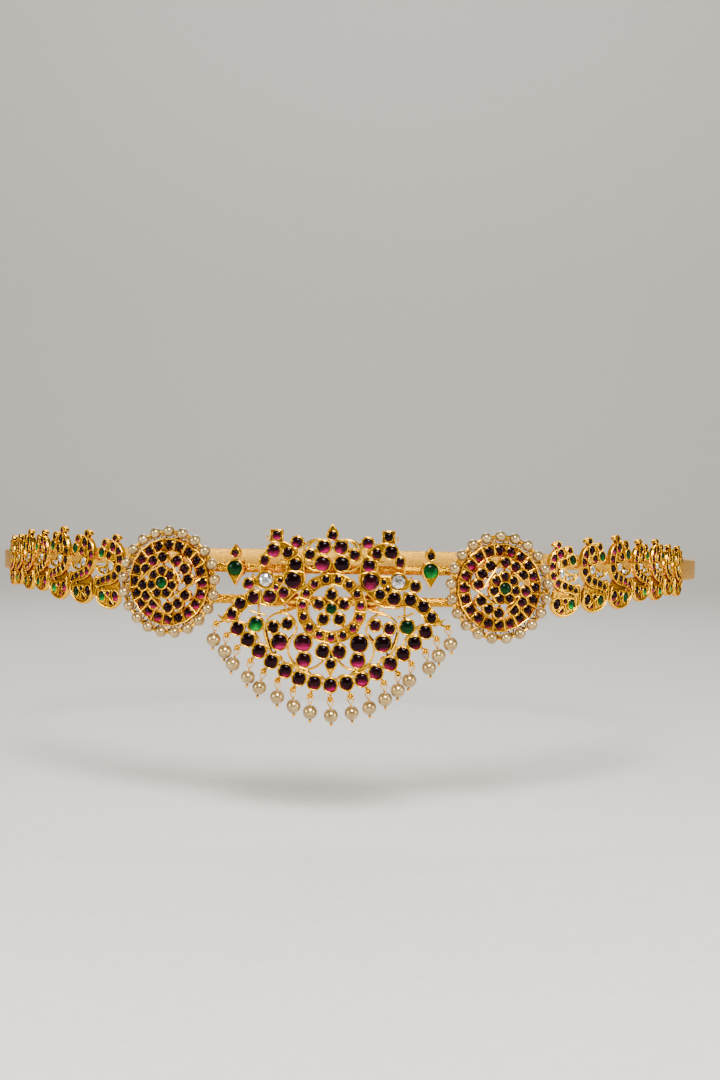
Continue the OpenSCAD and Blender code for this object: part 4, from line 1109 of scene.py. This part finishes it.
# Heads of the two birds, drawn out to a beak, and the solid cheek of each
LINK_HEADS = [[(-13.4, 45.4), (-11.8, 47.6), (-9.2, 49.2), (-5.8, 50.2), (-2.6, 49), (-1, 45.8),
    (-1.4, 42.6), (-4.2, 40.4), (-7.4, 41), (-8.6, 43.6)], [(3.8, 37.4), (5.6, 39.8), (7.9, 41.3),
    (11.6, 41.8), (14.8, 40.5), (16.7, 36.4), (16.3, 32.4), (13.9, 30.3), (10.7, 30.2), (8.6, 32.6),
    (7.6, 35.8)]]
LINK_CHEEKS = [[(-13.4, 45.4), (-11.8, 47.5), (-9.4, 49), (-8.4, 46.4), (-8.6, 43.8)],
    [(3.9, 37.4), (5.6, 39.6), (7.8, 41), (8.7, 37.8), (8.6, 34)], [(15.2, 3.2), (23.2, 3.5), (19.6, -1.8),
    (14.6, -4.2)], [(-8.4, 24.6), (-4.2, 24.4), (-5.2, 15.4), (-8.8, 16.4)],
    [(7.9, 31.4), (10.7, 29.8), (13.4, 28.9), (9.3, 26.2), (6.1, 27.1)]]
# The back and breast of the bird: outer and inner edge, and the walls between its cells
LINK_BACK = [(-8.6, 40), (-12.2, 37.8), (-16, 34.2), (-20.4, 27.6), (-22.8, 19.4), (-23.6, 11), (-22.6, 4),
    (-19.4, -3.6), (-15, -10.4), (-9.4, -15), (-2.1, -18.2), (7, -20.6), (14.6, -24.4), (19.4, -24),
    (20.6, -19.6), (19, -15.6), (15.2, -12), (10.6, -9.6), (4.2, -7), (-4.4, -2.2), (-9.4, 2.8),
    (-12.2, 8.6), (-12.6, 15.6), (-11.6, 20.8), (-9.6, 26)]
LINK_SPLITS = [[(-19.9, 24.6), (-11.6, 22.4)], [(-23.4, 11.4), (-12.6, 11.4)],
    [(-18.8, -4), (-9.8, 2.2)], [(-9.6, -14.4), (-4.8, -3)], [(1.8, -18.8), (4.8, -7.8)],
    [(11.4, -22.4), (14.2, -12)], [(-3.9, 25.2), (-4.9, 14.4)], [(1.4, 11), (2.9, -3.4)],
    [(9.8, 4.6), (9.9, -5)], [(15.2, 3.2), (14.4, -4.4)]]
LINK_BREAST = [(-8.8, 25.4), (-9.8, 20), (-9.2, 15.8), (-4.6, 14), (3.4, 13.8), (7, 17), (7.4, 22),
    (5.2, 26.8), (0.6, 26.4), (-4, 25)]
LINK_CRESCENT = [(-8.1, 6.6), (-6.1, 11.3), (-2.1, 13.1), (2.9, 10.8), (7.2, 6), (13.4, 3.4), (23.2, 3.8),
    (19.2, -2.2), (13.6, -5.5), (6.2, -6), (-0.8, -3.2), (-6.5, 1.4)]
LINK_COLLAR = [(-16, -12.6), (-18.6, -19.2), (-16.2, -23.2), (-4.8, -25.2), (8, -27.6), (12, -26.6),
    (12, -23), (-2.1, -18), (-10, -14.4)]
LINK_BASE = [(-19.4, -19.8), (-22.4, -28.6), (-22, -38), (-16.9, -45), (-8.8, -49.4), (0, -49.6),
    (9.2, -47), (17.4, -40.6), (21.8, -32), (23.6, -22), (24.2, -14.6), (22.4, -11.6), (17, -12.4)]
# Upper edge of the base, below the collar, from right to left
LINK_BASE_TOP = [(15.4, -19), (12, -25.8), (-4.8, -25.2), (-16.2, -22.6)]
LINK_RAYS = [[(-6.2, -36.4, 0, 1.6), (-15.8, -43.4, 0, 2.1)], [(-2.4, -36), (-2, -40.6), (-1.4, -46.6)],
    [(0.8, -38.4), (3.2, -42.6), (6.8, -45.8)], [(13.8, -41.2), (15.4, -34), (14.6, -28.8)],
    [(-9.6, -26), (-4, -25.8), (3.6, -27.4), (9.4, -28)], [(15.6, -23.6), (19.4, -28), (19.2, -35)]]
# Streaks along the collar's matt gold
LINK_STREAKS = [[(-16.8, -15.6), (-9.4, -17.4), (-1.6, -20.6), (10.4, -24.6)],
    [(-17.6, -18.4), (-9.4, -20), (-1.2, -22.6), (9.6, -25.6)], [(-16.8, -21), (-9, -22.4), (0, -24.6)]]


class BELT_PG_links(bpy.types.PropertyGroup):
    height: length("Height of a link", "From a link's back to the rim of its cells", 1.9, 1.6, 2.8)


class BELT_OT_links(bpy.types.Operator):
    """Builds the chain of bird-shaped links: seven on each side, smaller towards the back"""
    bl_idname = "belt.links"
    bl_label = "Links"

    def execute(self, context):
        top = context.scene.belt_links.height / MM
        for size in sorted(set(LINK_HEIGHTS)):
            unit = size / 100
            gold = self.link_gold(unit, top)
            bed = top - BED
            paints = [(set_stones(self.rows(LINK_RUBIES, unit), bed), ruby_glass, "garnet", "rubies", 60),
                      (set_stones(self.rows(LINK_GREENS, unit), bed), green_glass, "emerald", "greens", 60),
                      (set_cut_stones(self.rows(LINK_CLEAR, unit), bed - 0.3), cut_glass, "clear_stone",
                       "cut_stones", 5)]
            for i in [k for k in range(7) if LINK_HEIGHTS[k] == size]:
                for side, name in ((1, "right"), (-1, "left")):
                    place = on_belt(MEDALLION_S + LINK_S[i], *hip_line(LINK_S[i]), side=side)
                    tag = f"{name}_{i + 1}"
                    finished([copied(gold)], "bird_link_" + tag, place, Finishes.get(cast_gold),
                             ["link_" + tag])
                    for stones, make, slot, word, angle in paints:
                        finished([copied(stones)], f"link_{word}_{tag}", place, Finishes.get(make),
                                 (), angle)
            for ob in [gold] + [p[0] for p in paints]:
                bpy.data.objects.remove(ob)
        return {"FINISHED"}

    def rows(self, rows, unit):
        return [(x * unit, y * unit, rx * unit, ry * unit, turn) for x, y, rx, ry, turn in rows]

    def link_gold(self, unit, top):
        wall = 0.48
        loops = [ring(x * unit, y * unit, rx * unit, ry * unit, turn, 20)
                 for x, y, rx, ry, turn in LINK_OVALS]
        loops += [sized(smooth(line, True, 2), unit) for line in (LINK_BREAST, LINK_CRESCENT, *LINK_HEADS)]
        back = sized(smooth(LINK_BACK, True, 2), unit)
        base = sized(smooth(LINK_BASE), unit)
        parts = cells(loops, top, wall) + cells([back], top + 0.1, wall)
        parts.append(fence([sized(line, unit) for line in LINK_SPLITS], top - 0.05, 0.55, 0.4, sides=2))
        parts.append(fence([base], top, 4.2 * unit, sides=2))
        parts.append(plates([base + sized(LINK_BASE_TOP, unit)], 0, top - BED))
        parts.append(plates([sized(line, unit) for line in LINK_CHEEKS], 0, top - 0.3))
        parts.append(plates([sized(smooth(LINK_COLLAR, True, 2), unit)], 0, top - 0.8))
        rays = [at_height(sized(smooth(line), unit), top - 0.45) for line in LINK_RAYS]
        streaks = [at_height(sized(smooth(line), unit), top - 0.9) for line in LINK_STREAKS]
        parts += [bent(rays, 0.5, 0.3), bent(streaks, 0.45)]
        # Milled edge along the bird's nape and back
        edge = smooth(LINK_BACK[:7], steps=5)
        parts.append(bent([[(x * unit * 1.035, y * unit * 1.03, top - 0.42, 1.0 if i % 2 else 0.5)
                            for i, (x, y) in enumerate(edge)]], 0.6))
        ears = [eye(end * (50 * unit - 1.5), side * EYE_UP, -0.75, 16) for end in (-1, 1) for side in (-1, 1)]
        parts.append(bent(ears, 0.6, closed=True, sides=2))
        parts.append(collars(self.rows(LINK_RUBIES + LINK_GREENS, unit), top - BED, 0.25, 0.22))
        return joined(parts)


# Where the strap starts and ends along the belt. It leaves the last link with a slight outward swing, as its
# spring makes it do, over a length and by a rise. All in mm
STRAP_RUN = (MEDALLION_S + 100.7, Plan.half_length - 3)
STRAP_SWING = (128, 4.5)
STRAP_STEPS = 160
STRAP_EYES = 100.3


class BELT_PG_strap(bpy.types.PropertyGroup):
    width: length("Width of the strap", "Height of the plain band at the back", 7.8, 6.5, 9)
    thickness: length("Thickness of the strap", "Thickness of the plain band at the back", 1.2, 0.8, 1.6)


class BELT_OT_strap(bpy.types.Operator):
    """Makes the plain stippled band behind the links, in two halves with two eyes each, and gives the clasp
    from the solids the same stippled gold
    """
    bl_idname = "belt.strap"
    bl_label = "Strap and clasp"

    def execute(self, context):
        band, thick = context.scene.belt_strap.width / MM, context.scene.belt_strap.thickness / MM
        start, end = STRAP_RUN
        gold = Finishes.get(stippled_gold)
        roll = hip_line(STRAP_EYES)[1]
        for side, name in ((1, "right"), (-1, "left")):
            middle = []
            for i in range(STRAP_STEPS + 1):
                s = start + (end - start) * i / STRAP_STEPS
                rise = STRAP_SWING[1] * math.sin(math.pi * min(1, (s - start) / STRAP_SWING[0]) ** 0.6) ** 2
                x, y, _ = in_mm(on_belt(s, STRAP_Z, out=rise, side=side).translation)
                middle.append((x, y, 0))
            strip = bent([middle], thick, band - thick)
            strip.data.transform(Matrix.Translation((0, 0, STRAP_Z)))
            place = on_belt(MEDALLION_S + STRAP_EYES, STRAP_Z, roll, out=0, side=side)
            eyes = [[in_mm(place @ Vector(point)) for point in eye(1.5, up, 1.35)]
                    for up in (-EYE_UP, EYE_UP)]
            posts = [[in_mm(place @ Vector(point))
                      for point in ((2.2, up * 3.2, 0), (2.1, up * 4.1, 0.3), (1.5, up * EYE_UP, 0.5))]
                     for up in (-1, 1)]
            finished([strip, bent(eyes, 0.6, closed=True, sides=2), bent(posts, 0.8)],
                     "stippled_strap_" + name, Matrix.Scale(MM, 4), gold, ["strap_" + name])
        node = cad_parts["clasp"]
        node.data.materials.clear()
        node.data.materials.append(gold)
        return {"FINISHED"}


class BELT_OT_findings(bpy.types.Operator):
    """Gives the jump rings, rim pearls and pearl wires, whose shapes the solids hold, their finishes"""
    bl_idname = "belt.findings"
    bl_label = "Rings, rim pearls and wires"

    def execute(self, context):
        for word, make in (("link_rings_", cast_gold), ("pearl_wire_", cast_gold),
                           ("rim_pearls_", pearl_skin)):
            for side in ("left", "right"):
                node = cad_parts[word + side]
                node.data.materials.clear()
                node.data.materials.append(Finishes.get(make))
        return {"FINISHED"}


class BELT_PG_stage(bpy.types.PropertyGroup):
    key_power: power("Key light", "Power of the large soft light over the camera", 19.0)
    fill_power: power("Side lights", "Power of each of the side lights", 4.0)
    wall_power: power("Ground light", "Power of the light that washes the paper behind the belt", 42.0)
    lens: FloatProperty(name="Lens", description="Focal length of the camera", default=40.0, min=20, max=200,
                        unit="CAMERA")


# The camera as read from the photo: its place in metres, and how it is turned, tilted and rolled, in radians
CAMERA_PLACE = (0.0245, -0.5242, 0.0195)
CAMERA_TURN = (-0.0367, -0.0088, 0.0156)


class BELT_OT_stage(bpy.types.Operator):
    """Sets the pale paper cove, the soft lights and the camera at the front"""
    bl_idname = "belt.stage"
    bl_label = "Stage, lights and camera"

    def execute(self, context):
        scene = context.scene
        sizes = scene.belt_stage
        # A flat floor that rolls up into a wall all round
        turns = [math.pi / 2 * k / 12 for k in range(13)]
        roll = [(2.2 + 0.8 * math.sin(a), 0, 0.715 - 0.8 * math.cos(a)) for a in turns]
        paper = alone(bent([[(0, 0, -0.085), *roll, (3, 0, 4)]], 0))
        paper.name = "ground_paper"
        bpy.ops.object.mode_set(mode="EDIT")
        bpy.ops.mesh.select_all(action="SELECT")
        bpy.ops.mesh.spin(steps=72, angle=2 * math.pi, center=(0, 0, 0), axis=(0, 0, 1))
        bpy.ops.mesh.select_all(action="SELECT")
        bpy.ops.mesh.remove_doubles(threshold=0.0001)
        bpy.ops.mesh.normals_make_consistent(inside=True)
        bpy.ops.object.mode_set(mode="OBJECT")
        bpy.ops.object.shade_smooth_by_angle(angle=math.radians(40))
        paper.data.materials.append(Finishes.get(studio_paper))
        for name, power, size, place, aim in (
                ("key_light", sizes.key_power, 0.3, (0.12, -0.75, 0.62), (0, -0.1, 0)),
                ("left_light", sizes.fill_power, 0.3, (-0.75, -0.5, 0.2), (-0.05, -0.1, 0)),
                ("right_light", sizes.fill_power, 0.3, (0.8, -0.45, 0.15), (0.05, -0.1, 0)),
                ("back_light", sizes.fill_power, 0.5, (-0.1, 0.75, 0.75), (0, 0, 0)),
                ("ground_light", sizes.wall_power, 1.2, (0, 1, 2.2), (0, 3, 0.4))):
            bpy.ops.object.light_add(type="AREA", location=place)
            light = bpy.context.object
            light.name = name
            light.data.energy = power
            light.data.size = size
            light.rotation_euler = (Vector(aim) - Vector(place)).to_track_quat("-Z", "Y").to_euler()
        world = bpy.data.worlds.new("studio_air")
        scene.world = world
        world.use_nodes = True
        air = next(n for n in world.node_tree.nodes if n.type == "BACKGROUND")
        air.inputs["Color"].default_value = linear("#E9E6E0")
        air.inputs["Strength"].default_value = 0.07
        bpy.ops.object.camera_add()
        camera = bpy.context.object
        camera.name = "front_camera"
        camera.data.sensor_fit = "VERTICAL"
        camera.data.sensor_height = 36
        camera.data.lens = sizes.lens
        camera.data.clip_start = 0.01
        yaw, tilt, roll = CAMERA_TURN
        look = Vector((math.sin(yaw) * math.cos(tilt), math.cos(yaw) * math.cos(tilt), math.sin(tilt)))
        right = Vector((math.cos(yaw), -math.sin(yaw), 0))
        up = right.cross(look)
        right, up = right * math.cos(roll) + up * math.sin(roll), up * math.cos(roll) - right * math.sin(roll)
        turn = Matrix((right, up, -look)).transposed().to_4x4()
        camera.matrix_world = Matrix.Translation(CAMERA_PLACE) @ turn
        scene.camera = camera
        return {"FINISHED"}


OPERATORS = (BELT_OT_stage, BELT_OT_pendant, BELT_OT_drops, BELT_OT_ropes, BELT_OT_sliders,
             BELT_OT_medallions, BELT_OT_links, BELT_OT_strap, BELT_OT_findings)


class BELT_PT_panel(bpy.types.Panel):
    """Lists the sizes and the pieces of the belt"""
    bl_label = "Waist belt"
    bl_idname = "BELT_PT_panel"
    bl_space_type = "VIEW_3D"
    bl_region_type = "UI"
    bl_category = "Waist belt"

    def draw(self, context):
        scene = context.scene
        for name, cls in GROUPS.items():
            box = self.layout.box()
            for key in cls.__annotations__:
                box.prop(getattr(scene, name), key)
        for operator in OPERATORS:
            self.layout.operator(operator.bl_idname)


GROUPS = {"belt_finishes": BELT_PG_finishes, "belt_pendant": BELT_PG_pendant, "belt_ropes": BELT_PG_ropes,
          "belt_medallion": BELT_PG_medallion, "belt_links": BELT_PG_links, "belt_strap": BELT_PG_strap,
          "belt_stage": BELT_PG_stage}


def register():
    for cls in (*GROUPS.values(), *OPERATORS, BELT_PT_panel):
        bpy.utils.register_class(cls)
    for key, cls in GROUPS.items():
        setattr(bpy.types.Scene, key, PointerProperty(type=cls))


def unregister():
    for key in GROUPS:
        delattr(bpy.types.Scene, key)
    for cls in (BELT_PT_panel, *reversed(OPERATORS), *GROUPS.values()):
        bpy.utils.unregister_class(cls)


def main():
    register()
    bpy.ops.belt.stage()
    bpy.ops.belt.pendant()
    bpy.ops.belt.drops()
    bpy.ops.belt.ropes()
    bpy.ops.belt.sliders()
    bpy.ops.belt.medallions()
    bpy.ops.belt.links()
    bpy.ops.belt.strap()
    bpy.ops.belt.findings()


if __name__ == "__main__":
    main()
